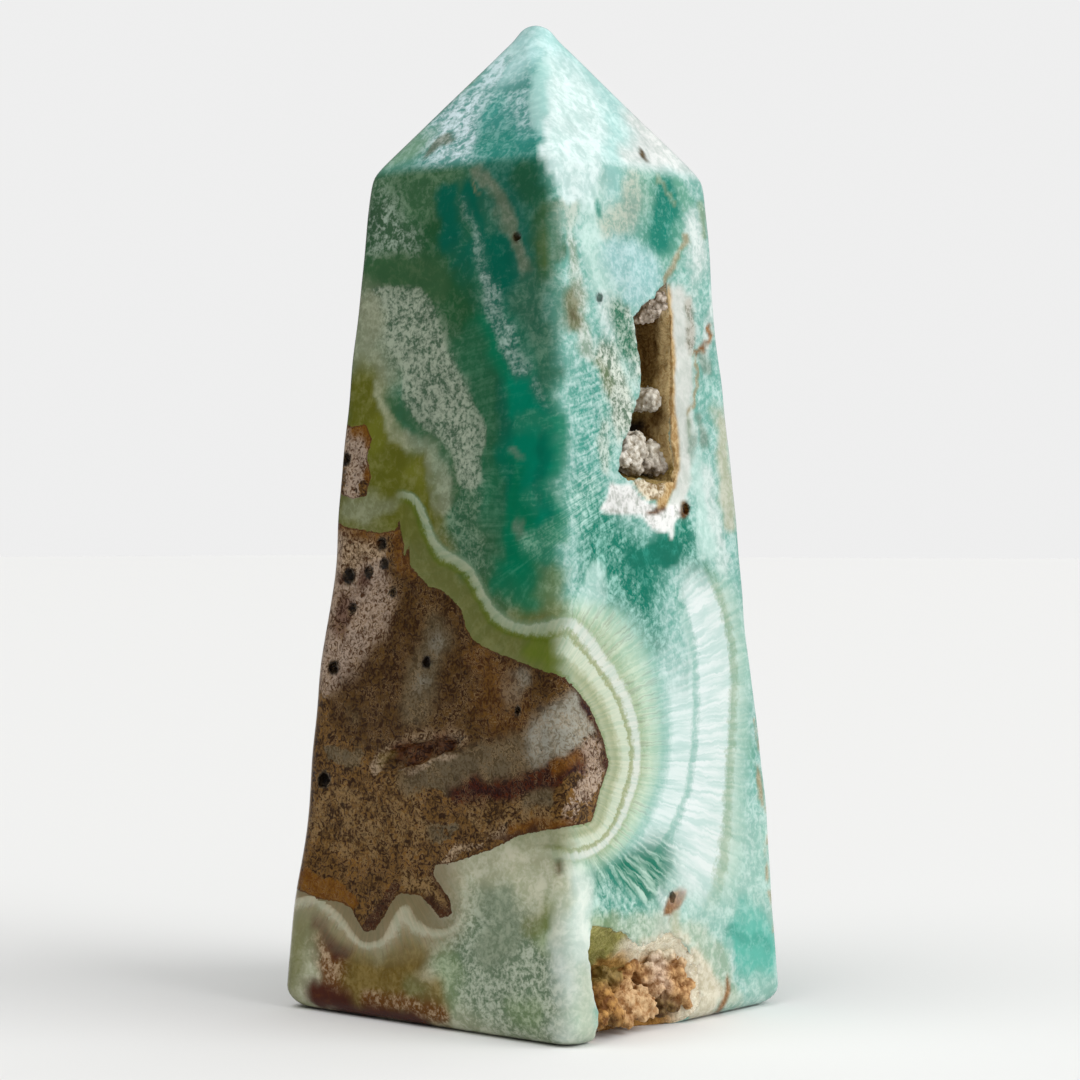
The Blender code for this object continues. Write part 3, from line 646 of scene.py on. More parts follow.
RIGHT_STROKES = (
    ("pale_aqua", 1.0, 80, (600, 215), (640, 260), (600, 330)),
    ("olive_dark", 0.9, 11, (552, 208), (551, 240), (550, 278)),
    ("grey_green", 0.7, 12, (552, 300), (552, 345)),
    ("aqua_smooth", 0.8, 20, (596, 190), (600, 240), (606, 290)),
    ("tip_aqua", 0.6, 12, (612, 178), (616, 196)),
    # These two pale strokes beside the front edge are a painted highlight, the soft sheen down that
    # edge.
    ("pale_streak", 0.9, 9, (572, 250), (580, 300), (585, 352)),
    ("pale_streak", 0.4, 8, (572, 180), (574, 250)),
    ("white_lobe", 0.8, 12, (592, 176), (590, 196)),
    ("beige_mottle", 0.5, 14, (570, 205), (566, 218)),
    ("beige_mottle", 0.85, 18, (638, 184), (630, 210), (616, 226)),
    ("teal_veiled", 0.9, 30, (662, 190), (664, 236)),
    ("teal_patch", 1.0, 19, (668, 196), (664, 216), (660, 238)),
    ("teal_veiled", 0.9, 10, (680, 188), (690, 204)),
    ("pale_line", 0.5, 3, (657, 182), (688, 214)),
    ("teal_patch", 0.8, 6, (602, 206), (604, 212)),
    ("teal_patch", 0.5, 6, (620, 241), (636, 240)),
    ("blue_pale", 0.9, 22, (620, 262), (646, 268), (636, 286)),
    ("white_upright", 1.0, 16, (694, 230), (700, 280), (706, 330)),
    ("tan_line", 0.8, 4, (684, 236), (675, 262), (667, 284)),
    ("green_tint", 0.6, 7, (703, 212), (704, 230)),
    ("white_upright", 0.8, 9, (604, 300), (606, 330)),
    ("grey_mottle", 1.0, 20, (606, 362), (618, 392), (624, 420)),
    ("grey_mottle", 0.9, 9, (630, 318), (634, 350), (638, 380)),
    ("olive_spot", 0.3, 9, (596, 366), (610, 384)),
    ("emerald_mottle", 1.0, 16, (616, 314), (620, 330), (626, 346)),
    ("tan_spot", 0.9, 13, (573, 300), (575, 320)),
    ("brown_spot", 0.5, 5, (574, 309), (575, 315)),
    ("white_fibres", 1.0, 22, (584, 392), (590, 430), (592, 482)),
    ("aqua_fibres", 0.8, 12, (604, 408), (608, 450)),
    ("grey_mottle", 0.6, 7, (606, 430), (606, 466)),
    ("aqua_fibres", 1.0, 26, (585, 505), (610, 560), (590, 600)),
    ("teal_wisps", 1.0, 36, (606, 545), (640, 570), (625, 610)),
    ("teal_wisps", 0.9, 20, (640, 610), (650, 640)),
    ("teal_deep", 1.0, 15, (632, 556), (656, 550), (682, 540)),
    ("teal_deep", 0.8, 12, (640, 565), (648, 590)),
    ("teal_wisps", 0.8, 20, (690, 545), (700, 590)),
    ("aqua_smooth", 0.8, 14, (598, 580), (588, 606)),
    ("white_smooth", 1.0, 13, (680, 300), (686, 360), (686, 430), (686, 470)),
    ("white_smooth", 1.0, 10, (674, 300), (679, 360), (682, 430), (682, 490)),
    ("pale_aqua", 1.0, 20, (712, 290), (712, 350), (710, 400)),
    ("grey_granule", 1.0, 8, (690, 308), (692, 346)),
    ("white_upright", 0.8, 7, (712, 300), (708, 350)),
    ("rust_vein", 1.0, 4, (720, 328), (712, 340), (700, 352)),
    ("tan_line", 0.9, 2.8, (697, 356), (698, 384), (697, 404), (690, 420)),
    ("grey_green_spot", 0.9, 7, (706, 356), (708, 372)),
    ("grey_green_spot", 0.9, 7, (701, 424), (702, 440)),
    ("grey_green_spot", 0.9, 8, (688, 434), (694, 456)),
    ("olive_spot", 0.3, 6, (688, 424), (688, 434)),
    ("beige_far", 0.95, 14, (722, 420), (727, 480), (731, 520)),
    ("aqua_smooth", 1.0, 16, (700, 466), (706, 510), (710, 545)),
    ("white_upright", 0.7, 9, (706, 470), (716, 530), (722, 570)),
    ("amber_line", 0.9, 3.5, (671, 330), (674, 400), (676, 450), (676, 490)),
    ("aqua_fibres", 0.8, 22, (690, 600), (720, 640)),
    ("aqua_low", 1.0, 60, (620, 905), (700, 890), (745, 870)),
    ("column_white", 1.0, 18, (578, 885), (580, 930), (584, 990)),
    ("cream_column", 1.0, 20, (582, 990), (586, 1040)),
    ("teal_wedge", 1.0, 27, (610, 876), (636, 872), (660, 862)),
    ("teal_wedge", 0.9, 16, (640, 885), (656, 892)),
    ("aqua_fibres", 0.8, 18, (610, 900), (640, 925)),
    ("white_upright", 0.8, 9, (662, 905), (664, 930)),
    ("rust_vein", 0.9, 4.5, (681, 894), (675, 904), (668, 912)),
    ("beige_far", 0.9, 9, (674, 912), (676, 930)),
    ("aqua_low", 0.9, 30, (760, 990), (770, 900)),
    ("aqua_patch", 1.0, 22, (738, 942), (768, 952)),
    ("aqua_patch", 0.7, 14, (745, 910), (758, 925)),
    ("teal_patch", 0.35, 7, (726, 932), (765, 944)),
    ("white_upright", 0.5, 6, (728, 945), (732, 962)),
    ("cream_mint", 0.5, 13, (620, 930), (664, 930), (704, 942), (722, 968), (730, 1000)),
    ("green_tint", 0.8, 10, (600, 922), (612, 926)),
    ("foot_rim_cream", 1.0, 15, (702, 966), (706, 990), (704, 1018)),
    ("foot_rim_cream", 0.7, 7, (640, 944), (652, 944), (668, 936), (686, 944)),
    ("cream_column", 0.7, 8, (727, 1000), (735, 1020)),
    ("tan_line", 0.9, 4, (759, 722), (766, 762), (776, 860), (781, 930)),
    ("teal_veiled", 0.6, 8, (742, 736), (752, 756)),
)
# Patches with a clear edge: the finish, how strong it is, and the patch's outline in pixels.
CLEAR_PATCHES = (
    ("frost", 0.8, (367, 287), (393, 289), (417, 285), (428, 295), (436, 313), (440, 335), (447, 351),
     (457, 367), (465, 388), (479, 409), (486, 425), (485, 447), (481, 468), (479, 489), (457, 489),
     (457, 468), (447, 447), (428, 431), (412, 415), (400, 393), (404, 366), (398, 336), (388, 306)),
    ("white_lobe", 1.0, (550, 72), (556, 77), (571, 80), (583, 86), (590, 98), (598, 113), (601, 127),
     (600, 147), (602, 166), (598, 179), (588, 188), (575, 205), (563, 205), (558, 183), (549, 171),
     (543, 157), (541, 144), (544, 127), (547, 113), (549, 98)),
    ("lens_mint", 1.0, (543, 56), (537, 67), (530, 86), (528, 104), (530, 115), (535, 132), (539, 137),
     (543, 125), (546, 113), (548, 98), (549, 82), (548, 68), (546, 58)),
    ("teal_deep", 1.0, (634, 559), (639, 550), (648, 543), (668, 538), (682, 543), (683, 556),
     (674, 567), (662, 569), (650, 564), (642, 557)),
    ("white_smooth", 1.0, (676, 470), (684, 470), (686, 486), (682, 502), (676, 518), (672, 530),
     (668, 516), (670, 500), (676, 486)),
    ("powder", 1.0, (611, 481), (620, 485), (631, 482), (635, 491), (640, 498), (652, 503), (659, 508),
     (667, 507), (678, 504), (684, 511), (682, 519), (675, 521), (673, 530), (664, 534), (653, 528),
     (647, 521), (643, 516), (632, 514), (617, 515), (603, 512), (600, 508), (606, 500), (608, 488)),
    ("powder", 0.9, (667, 530), (674, 526), (673, 540), (669, 541)),
    ("white_smooth", 1.0, (673, 292), (682, 296), (685, 340), (684, 380), (687, 420), (685, 460),
     (688, 490), (680, 496), (678, 450), (676, 400), (674, 340)),
    ("ledge_amber", 1.0, (667, 286), (671, 284), (674, 330), (676, 400), (678, 450), (678, 488),
     (672, 490), (670, 450), (668, 400), (666, 340)),
    ("foot_rim_cream", 0.95, (688, 946), (700, 950), (712, 966), (717, 992), (712, 1020), (690, 1028),
     (690, 1000), (690, 975)),
    ("rust_vein", 0.95, (726, 974), (729, 976), (731, 992), (726, 1006), (717, 1018), (711, 1022),
     (711, 1017), (720, 1004), (725, 990)),
    ("ledge_cream", 1.0, (633, 480), (645, 478), (662, 476), (668, 484), (664, 499), (656, 502),
     (647, 499), (640, 495), (636, 489)),
    ("ledge_amber", 1.0, (660, 480), (676, 472), (676, 486), (670, 500), (666, 510), (658, 510),
     (656, 502), (663, 496), (666, 488)),
    ("dark_amber", 0.9, (657, 507), (666, 506), (665, 513), (658, 514), (648, 516), (645, 512),
     (652, 511)),
    ("dark_amber", 1.0, (680, 503), (684, 500), (689, 508), (688, 516), (684, 522), (681, 518)),
    ("rust_vein", 1.0, (686, 886), (676, 889), (667, 898), (661, 914), (667, 916), (680, 905),
     (687, 894)),
)
# Strokes on the rock of the matrix and in the hollows.
ROCK_STROKES = (
    ("brown_dark", 0.9, 60, (420, 610), (400, 690), (460, 700), (520, 690)),
    ("brown_dark", 0.8, 30, (350, 700), (400, 740)),
    ("brown_light", 0.5, 40, (330, 820), (400, 820)),
    ("brown_light", 0.5, 24, (480, 812), (540, 815)),
    ("pinkish", 1.0, 32, (346, 550), (346, 600), (340, 640)),
    ("pinkish", 0.8, 20, (368, 562), (380, 600), (372, 620)),
    ("red_streak", 0.8, 7, (344, 572), (350, 576)),
    ("red_streak", 0.7, 6, (366, 584), (360, 596)),
    ("straw", 0.9, 14, (348, 540), (372, 545), (352, 562)),
    ("amber", 1.0, 11, (342, 524), (362, 521), (384, 529)),
    ("amber", 0.9, 9, (396, 528), (402, 552), (410, 566)),
    ("red_streak", 0.7, 12, (345, 600), (340, 625)),
    ("pinkish", 0.6, 14, (322, 660), (328, 680)),
    ("lilac", 0.9, 19, (437, 638), (428, 665), (416, 706)),
    ("blue_grey", 0.4, 8, (438, 642), (426, 660), (422, 686)),
    ("blue_grey", 0.6, 11, (518, 682), (510, 698)),
    ("amber", 0.5, 16, (480, 660), (500, 676)),
    ("lilac", 0.6, 7, (350, 712), (358, 718)),
    ("amber", 0.5, 24, (494, 700), (516, 730)),
    ("lilac", 0.9, 17, (440, 772), (490, 762), (536, 742)),
    ("blue_grey", 1.0, 19, (540, 738), (568, 722), (584, 712)),
    ("lilac", 0.8, 12, (410, 782), (452, 778)),
    ("lilac", 0.8, 11, (330, 752), (356, 762)),
    ("red_streak", 1.1, 11, (462, 792), (520, 785), (556, 772), (580, 758)),
    ("amber_bright", 0.8, 7, (556, 768), (578, 756)),
    ("pinkish", 0.65, 12, (592, 750), (600, 764), (590, 785)),
    ("pinkish", 0.5, 11, (585, 790), (575, 812)),
    ("lilac", 0.8, 10, (528, 806), (545, 800)),
    ("lilac", 0.6, 8, (430, 826), (452, 832)),
    ("dark_rim", 1.2, 5.5, (558, 674), (588, 706), (604, 742), (609, 766)),
    ("amber_bright", 0.9, 4.5, (510, 834), (560, 826), (588, 820)),
    ("dark_rim", 0.9, 4, (480, 850), (560, 829), (592, 818)),
    ("straw", 0.6, 6, (440, 858), (470, 850), (500, 838)),
    ("amber_bright", 1.0, 12, (304, 884), (330, 892), (346, 900)),
    ("dark_rim", 1.0, 8, (368, 930), (378, 915), (394, 896)),
    ("dark_rim", 1.0, 6, (434, 878), (446, 900), (452, 914)),
    ("brown_light", 0.8, 9, (410, 880), (425, 888), (440, 906)),
    ("dark_rim", 0.9, 6, (425, 906), (450, 918)),
    ("straw", 0.7, 7, (380, 766), (395, 746), (430, 737), (462, 733)),
    ("pale_rim", 0.9, 4, (380, 768), (420, 768), (452, 756)),
    ("pit_red", 1.0, 10, (402, 754), (430, 749), (448, 742)),
    ("olive_wall", 0.5, 6, (386, 762), (392, 756)),
    ("lilac", 1.0, 10, (426, 654), (426, 670)),
    ("pinkish", 1.0, 15, (352, 440), (355, 470), (352, 488)),
    ("lilac", 0.8, 10, (342, 430), (340, 460), (340, 490)),
    ("amber_bright", 1.0, 7, (356, 424), (370, 432), (372, 455), (370, 480)),
    ("hollow_wall", 1.0, 60, (655, 300), (655, 400), (655, 480)),
    ("tan_wall", 0.7, 20, (662, 420), (664, 470)),
    ("granular_cream", 0.9, 18, (662, 290), (656, 304)),
    ("facet_grey", 1.0, 8, (638, 318), (640, 330)),
    ("rust_wall", 1.0, 12, (648, 326), (648, 350)),
    ("rust_wall", 0.9, 10, (643, 330), (644, 380)),
    ("tan_wall", 0.6, 9, (660, 342), (663, 392)),
    ("tan_wall", 0.35, 8, (652, 420), (656, 436)),
    # Painted shade: near-black on the tall hollow's overhung left wall, where it lies in shadow.
    ("black_gap", 1.0, 15, (632, 402), (633, 434)),
    ("tan_wall", 0.8, 11, (671, 300), (671, 400), (671, 470)),
    ("rust_wall", 0.5, 6, (664, 404), (664, 436)),
    ("olive_wall", 1.0, 10, (618, 474), (640, 476), (668, 474)),
    ("olive_wall", 0.8, 8, (620, 466), (624, 474)),
    ("rust_wall", 1.0, 11, (641, 322), (646, 332), (652, 340)),
    ("tan_wall", 0.75, 6, (666, 322), (660, 336), (667, 352)),
    ("rust_wall", 0.7, 7, (645, 362), (656, 372)),
    ("tan_wall", 0.6, 5, (664, 384), (668, 402)),
    ("rust_wall", 1.0, 10, (660, 412), (652, 418), (646, 430)),
    # Painted shade: more near-black in the same shadowed gap.
    ("black_gap", 0.85, 9, (634, 410), (636, 424)),
    ("orange", 1.0, 60, (600, 1000), (700, 990)),
    ("foot_cream", 1.0, 12, (588, 1028), (598, 1036)),
    ("foot_olive", 1.0, 34, (600, 936), (616, 944), (606, 960)),
    ("orange", 0.8, 12, (598, 970), (620, 962), (634, 950)),
    ("foot_cream", 1.0, 30, (700, 960), (700, 985), (700, 1015)),
    ("foot_cream", 1.0, 20, (640, 944), (660, 940), (690, 944)),
    ("rust_wall", 0.7, 10, (600, 990), (612, 1000)),
)
# The outline of the brown matrix on the left face and round the hidden side, the small brown
# inclusion above it, and the growth bands round the matrix, one outside the other.
MATRIX_OUTLINE = (
    (335, 520), (345, 527), (380, 533), (396, 530), (399, 519), (404, 545), (404, 557),
    (409, 546), (411, 567), (418, 575), (428, 586), (441, 590), (452, 599), (462, 611),
    (466, 627), (473, 640), (490, 650), (520, 662), (545, 672), (560, 675), (575, 688),
    (590, 708), (603, 738), (609, 765), (600, 790), (592, 822), (560, 828), (520, 835),
    (490, 850), (455, 862), (435, 865), (433, 875), (440, 885), (450, 900), (452, 915),
    (440, 918), (430, 905), (420, 895), (400, 893), (393, 900), (385, 915), (375, 930),
    (365, 932), (357, 920), (352, 909), (342, 903), (320, 899), (298, 890), (268, 888),
    (246, 866), (238, 882), (224, 868), (212, 830), (196, 790), (200, 755), (188, 720),
    (206, 668), (204, 640), (228, 600), (240, 572), (262, 560), (282, 534), (306, 530),
)
INCLUSION_OUTLINE = (
    (318, 440), (338, 420), (352, 427), (366, 424), (372, 440), (367, 456), (371, 476),
    (366, 496), (352, 499), (336, 492), (312, 486), (306, 462),
)
BAND_OUTLINES = (
    ((335, 508), (350, 512), (370, 508), (396, 492), (414, 494), (423, 508), (430, 530),
     (440, 550), (458, 558), (473, 569), (485, 597), (497, 615), (517, 627), (542, 626),
     (566, 618), (581, 630), (597, 654), (613, 676), (627, 700), (635, 727), (638, 756),
     (636, 778), (629, 802), (618, 827), (602, 848), (581, 857), (560, 857), (545, 852),
     (520, 856), (490, 868), (463, 880), (463, 905), (462, 924), (443, 932), (423, 930),
     (410, 918), (405, 904), (393, 920), (386, 940), (368, 946), (356, 940), (345, 924),
     (334, 910), (320, 897), (306, 895), (292, 903), (262, 902), (236, 890), (206, 852),
     (184, 795), (178, 720), (194, 650), (218, 588), (255, 545), (298, 515)),
    ((335, 470), (380, 470), (415, 480), (432, 500), (450, 530), (480, 545), (490, 565),
     (505, 590), (530, 600), (565, 590), (600, 596), (622, 606), (643, 634), (655, 662),
     (661, 692), (664, 725), (664, 756), (661, 778), (653, 800), (640, 832), (612, 866),
     (585, 884), (545, 880), (500, 895), (484, 920), (474, 950), (440, 966), (380, 976),
     (330, 958), (290, 945), (250, 932), (214, 905), (170, 860), (150, 790), (146, 720),
     (162, 640), (190, 568), (236, 510), (290, 480)),
    ((335, 440), (390, 440), (440, 470), (480, 510), (510, 545), (560, 560), (610, 560),
     (657, 572), (676, 596), (689, 624), (695, 660), (696, 700), (695, 732), (692, 762),
     (688, 792), (680, 812), (662, 846), (632, 880), (590, 902), (540, 906), (505, 930),
     (480, 975), (430, 1005), (370, 1010), (320, 985), (270, 968), (210, 940), (150, 890),
     (122, 810), (112, 720), (130, 630), (164, 550), (215, 480), (275, 448)),
    ((360, 385), (440, 395), (520, 440), (600, 480), (660, 505), (698, 545), (720, 590),
     (732, 640), (735, 680), (733, 720), (731, 760), (729, 800), (727, 860), (716, 905),
     (690, 950), (640, 990), (590, 1005), (540, 1040), (450, 1062), (350, 1060), (250, 1030),
     (160, 960), (90, 850), (70, 720), (90, 600), (140, 500), (200, 430), (280, 395)),
)
# The line that the fibres stand on: down the frost's edge and round the matrix.
FIBRE_LINE = (
    (405, 150), (425, 225), (436, 290), (456, 360), (478, 415), (487, 460), (486, 500),
    (484, 535), (492, 572), (512, 598), (548, 610), (585, 618), (618, 645), (643, 685),
    (655, 725), (658, 765), (652, 805), (630, 845), (600, 872), (560, 885), (520, 890),
    (490, 910), (470, 940), (430, 965), (390, 970), (360, 985), (330, 965), (300, 940),
    (250, 925), (190, 890), (150, 830), (135, 740), (150, 640), (190, 560), (250, 500),
    (300, 470), (320, 420), (300, 360), (280, 280), (270, 200),
)
# Strokes on the hidden faces, in millimetres across and up the face.
HIDDEN_STROKES = {
    "-X": (
        ("tip_teal", 1.0, 12, (8, 88), (0, 92), (-6, 90)),
        ("white_speckle", 0.8, 4, (-3, 89), (2, 93), (1, 97)),
        ("tip_aqua", 0.9, 4, (0, 98), (3, 94)),
        ("forest", 1.0, 9, (-10, 80), (0, 78), (8, 82)),
        ("grey_speckle", 0.9, 3, (-8, 76), (-5, 79), (-2, 78)),
        ("dark_teal", 1.0, 3, (6, 83), (7, 74), (4, 66)),
        ("feather", 0.8, 2, (9, 82), (9.5, 74), (7, 64)),
        ("frost", 1.0, 5, (-12, 70), (-4, 67), (2, 60)),
        ("smoky", 0.8, 4, (-12, 66), (-7, 62)),
        ("yellow_olive", 1.0, 5, (-13, 60), (-8, 56), (-2, 53)),
        ("emerald", 1.0, 6, (10, 60), (12, 48), (13, 36)),
        ("green_fibre", 0.8, 3, (6, 58), (8, 50)),
        ("pink_spot", 0.7, 1, (9, 62), (10, 59)),
        ("mint_mottle", 0.9, 4, (14, 30), (13, 20), (10, 12)),
        ("mint_speckle", 1.0, 7, (8, 4), (-2, 5), (-8, 3)),
        # Painted light: the same paler glow through the thin corner, carried round onto this face.
        ("corner_green", 0.9, 3, (-15, 3), (-14, 8)),
        ("olive_low", 0.8, 3, (-6, 8), (0, 9)),
        ("maroon", 0.9, 1.2, (4, 0), (12, 0.5)),
        ("cream_column", 0.7, 2.5, (16, 2), (15, 14)),
    ),
    "+Y": (
        ("tip_pale", 1.0, 12, (-8, 88), (0, 93), (6, 90)),
        ("white_lobe", 0.9, 4, (-4, 88), (0, 94)),
        ("lens_mint", 0.8, 2, (5, 88), (4, 93)),
        ("pale_aqua", 1.0, 10, (-4, 80), (2, 66), (0, 50)),
        ("teal_patch", 1.0, 4, (7, 80), (5, 72), (7, 64)),
        ("white_upright", 0.9, 3, (10, 78), (11, 60), (12, 48)),
        ("beige_mottle", 0.9, 3, (-2, 78), (-4, 70)),
        ("grey_mottle", 0.9, 3, (-8, 70), (-9, 60), (-7, 54)),
        ("tan_line", 0.8, 1.2, (2, 82), (-1, 70), (1, 58), (-2, 50)),
        ("white_fibres", 0.9, 4, (4, 54), (6, 42), (4, 30)),
        ("teal_wisps", 1.0, 5, (-6, 48), (-8, 36), (-10, 26)),
        ("teal_deep", 0.9, 2.5, (-9, 42), (-10, 34)),
        ("aqua_fibres", 0.9, 4, (11, 40), (12, 28)),
        ("emerald", 0.9, 5, (-14, 60), (-16, 46), (-17, 30)),
        ("aqua_low", 1.0, 8, (8, 16), (0, 12), (-6, 18)),
        ("aqua_patch", 0.9, 3.5, (14, 8), (9, 6)),
        ("beige_far", 0.9, 2.5, (-2, 24), (1, 17), (-1, 8)),
        ("rust_vein", 0.9, 1.1, (0, 22), (1.5, 15), (0.5, 9)),
        ("mint_speckle", 0.9, 5, (-14, 14), (-10, 4)),
        ("cream_mint", 0.8, 4, (2, 3), (-4, 2)),
    ),
}


def seen_at(points):
    """Where points in millimetres show in the photograph, in its pixels."""
    from_eye = points - eye
    depth = -(from_eye @ towards_camera)
    return np.stack([PHOTO_SIZE / 2 + FOCUS * (from_eye @ to_the_right) / depth,
                     PHOTO_SIZE / 2 - FOCUS * from_eye[:, 2] / depth], axis=1)


def smooth_step(value):
    value = np.clip(value, 0.0, 1.0)
    return value * value * (3 - 2 * value)


def distance_to_line(points, line):
    """The distance of each point to a line of straight pieces, in the plane or in space."""
    line = np.asarray(line, dtype=float)
    nearest = np.full(len(points), np.inf)
    starts, ends = (line[:-1], line[1:]) if len(line) > 1 else (line, line + 1e-6)
    for start, end in zip(starts, ends):
        run = end - start
        share = np.clip((points - start) @ run / (run @ run), 0, 1)
        nearest = np.minimum(nearest, np.linalg.norm(points - start - share[:, None] * run,
                                                     axis=1))
    return nearest


def inside_distance(points, outline):
    """The distance to a closed outline, positive inside it and negative outside."""
    outline = np.asarray(outline, dtype=float)
    inside = np.zeros(len(points), dtype=bool)
    for start, end in zip(outline, np.roll(outline, -1, axis=0)):
        spans = (start[1] > points[:, 1]) != (end[1] > points[:, 1])
        rise = end[1] - start[1] if end[1] != start[1] else 1e-9
        crossing = start[0] + (points[:, 1] - start[1]) * (end[0] - start[0]) / rise
        inside ^= spans & (points[:, 0] < crossing)
    distance = distance_to_line(points, np.vstack([outline, outline[:1]]))
    return np.where(inside, distance, -distance)


def rounded(outline, closed=True):
    """Cuts the corners of an outline twice, which makes it a smooth curve."""
    points = np.asarray(outline, dtype=float)
    for _ in range(2):
        following = np.roll(points, -1, axis=0)
        cut = np.stack([0.75 * points + 0.25 * following, 0.25 * points + 0.75 * following],
                       axis=1).reshape(-1, 2)
        points = cut if closed else np.vstack([points[:1], cut[:-2], points[-1:]])
    return points


mesh = stone.data
spots = np.empty(len(mesh.vertices) * 3)
mesh.vertices.foreach_get("co", spots)
spots = spots.reshape(-1, 3) / MM
height = np.clip(spots[:, 2], 0, TIP[2])
reach = {side: side_reach(side, height) for side in COLUMNS}
under = {
    "-Y": spots[:, 1] - reach["-Y"], "+X": reach["+X"] - spots[:, 0],
    "+Y": reach["+Y"] - spots[:, 1], "-X": spots[:, 0] - reach["-X"],
}
side_names = list(under)
nearest_side = np.argmin(np.stack([under[side] for side in side_names]), axis=0)

# The drawing: the photograph's pixels on the two faces in view, run on round the hidden ones.
drawing = seen_at(spots)
left_corner = seen_at(np.stack([reach["-X"], reach["-Y"], spots[:, 2]], axis=1))
right_corner = seen_at(np.stack([reach["+X"], reach["+Y"], spots[:, 2]], axis=1))
beyond_left = left_corner - np.stack([HIDDEN_SCALE["-X"] * under["-Y"], 0 * height], axis=1)
beyond_right = right_corner + np.stack([HIDDEN_SCALE["+Y"] * under["+X"], 0 * height], axis=1)
drawing[nearest_side == 3] = beyond_left[nearest_side == 3]
drawing[nearest_side == 2] = beyond_right[nearest_side == 2]

noise.seed_set(WANDER_SEED)
wander = np.array([noise.noise_vector(Vector(spot) / SLOW_WANDER[0]) * SLOW_WANDER[1]
                   + noise.noise_vector(Vector(spot) / QUICK_WANDER[0]) * QUICK_WANDER[1]
                   for spot in spots])
wandered = spots + wander
round_edge = under["-Y"] - under["+X"] + wander[:, 0] * EDGE_WANDER
round_edge = (round_edge - EDGE_BLEND[0]) / (EDGE_BLEND[1] - EDGE_BLEND[0])
on_right = smooth_step(round_edge)
on_right[nearest_side == 2] = 1.0
on_right[nearest_side == 3] = 0.0

stone_palette = {name: np.array([*deep, *veil, cover, fibre, cloud])
                 for name, (deep, veil, cover, fibre, cloud) in STONE_FINISHES.items()}
rock_palette = {name: np.array([*dark, *light, cover])
                for name, (dark, light, cover) in ROCK_FINISHES.items()}
above = smooth_step((spots[:, 2] - SHOULDER_HEIGHT + TIP_BLEND_START) / TIP_BLEND)[:, None]
right_share = on_right[:, None]
stone_look = ((1 - above) * ((1 - right_share) * stone_palette["sea_green"]
                             + right_share * stone_palette["pale_aqua"])
              + above * ((1 - right_share) * stone_palette["tip_teal"]
                         + right_share * stone_palette["tip_pale"]))
rock_look = np.tile(rock_palette["brown"], (len(spots), 1))
patch = np.zeros(len(spots))

skin = BVHTree.FromPolygons([tuple(spot) for spot in spots],
                            [tuple(face.vertices) for face in mesh.polygons])


def on_stone(pixel):
    """The place on the stone that shows at a pixel of the photograph, or the nearest to it."""
    ray = (-towards_camera + to_the_right * (pixel[0] - PHOTO_SIZE / 2) / FOCUS
           + upwards * (PHOTO_SIZE / 2 - pixel[1]) / FOCUS)
    place = skin.ray_cast(Vector(eye), Vector(ray).normalized())[0]
    if place is None:
        place = skin.find_nearest(Vector(eye + ray * CAMERA_DISTANCE))[0]
    return np.array(place)


def stroke_weight(places, strength, stroke_reach, points):
    """The points near a stroke, and how strong it is there, softer towards its reach."""
    points = np.asarray(points, dtype=float)
    near = np.flatnonzero(np.all((places > points.min(axis=0) - stroke_reach)
                                 & (places < points.max(axis=0) + stroke_reach), axis=1))
    away = distance_to_line(places[near], points) / stroke_reach
    return near, strength * smooth_step((1 - away) / (1 - STROKE_CORE))


def lay(look, values, strength, stroke_reach, points, where=1.0):
    """Blends one finish of the translucent stone into it along a stroke."""
    near, weight = stroke_weight(wandered, strength, stroke_reach, points)
    weight *= where if np.isscalar(where) else where[near]
    look[near] += (values - look[near]) * weight[:, None]


def lay_patch(places, look, patch, values, strength, stroke_reach, points):
    """Lays a patch over a rock, with its own cover, so that the material can fray its edge."""
    near, weight = stroke_weight(places, strength, stroke_reach, points)
    total = weight + patch[near] * (1 - weight)
    share = weight / np.maximum(total, 1e-6)
    look[near] += (values - look[near]) * share[:, None]
    patch[near] = total


tip_share = above[:, 0]
for strokes, where in ((LEFT_STROKES, (1 - on_right) * (1 - TIP_HOLD * tip_share)),
                       (RIGHT_STROKES, on_right * (1 - TIP_HOLD * tip_share)),
                       (LEFT_TIP_STROKES, (1 - on_right) * tip_share),
                       (RIGHT_TIP_STROKES, on_right * tip_share)):
    for finish, strength, pixels, *points in strokes:
        lay(stone_look, stone_palette[finish], strength, pixels / PIXELS_PER_MM,
            [on_stone(pixel) for pixel in points], where)
for side, strokes in HIDDEN_STROKES.items():
    beside = "-Y" if side == "-X" else "+X"
    own_side = smooth_step((under[beside] - under[side]) / HIDDEN_BLEND)
    for finish, strength, millimetres, *points in strokes:
        lay(stone_look, stone_palette[finish], strength, millimetres,
            [on_side(side, *point, 0.0) for point in points], own_side)
for finish, strength, pixels, *points in ROCK_STROKES:
    lay_patch(wandered, rock_look, patch, rock_palette[finish], strength,
              pixels / PIXELS_PER_MM, [on_stone(pixel) for pixel in points])

# Inside each pore the stone is darkened and the rock turned near-black: painted shade in the small
# holes.
for side, pore_across, pore_height, radius in PORES:
    centre = np.array(on_side(side, pore_across, pore_height, radius * PORE_SINK))
    away = np.linalg.norm(spots - centre, axis=1) / radius
    inside = smooth_step((PORE_REACH - away) / PORE_FADE)
    stone_look[:, :6] *= (1 - PORE_SHADE * inside)[:, None]
    rock_look += (rock_palette["black_gap"] - rock_look) * inside[:, None]
    patch = np.maximum(patch, inside * 1.5)

drawn = drawing + np.stack([wander @ to_the_right, -wander[:, 2]], axis=1) * CLEAR_WANDER
for finish, strength, *outline in CLEAR_PATCHES:
    share = strength * smooth_step(inside_distance(drawn, rounded(outline)) / CLEAR_EDGE + 0.5)
    stone_look += (stone_palette[finish] - stone_look) * share[:, None]

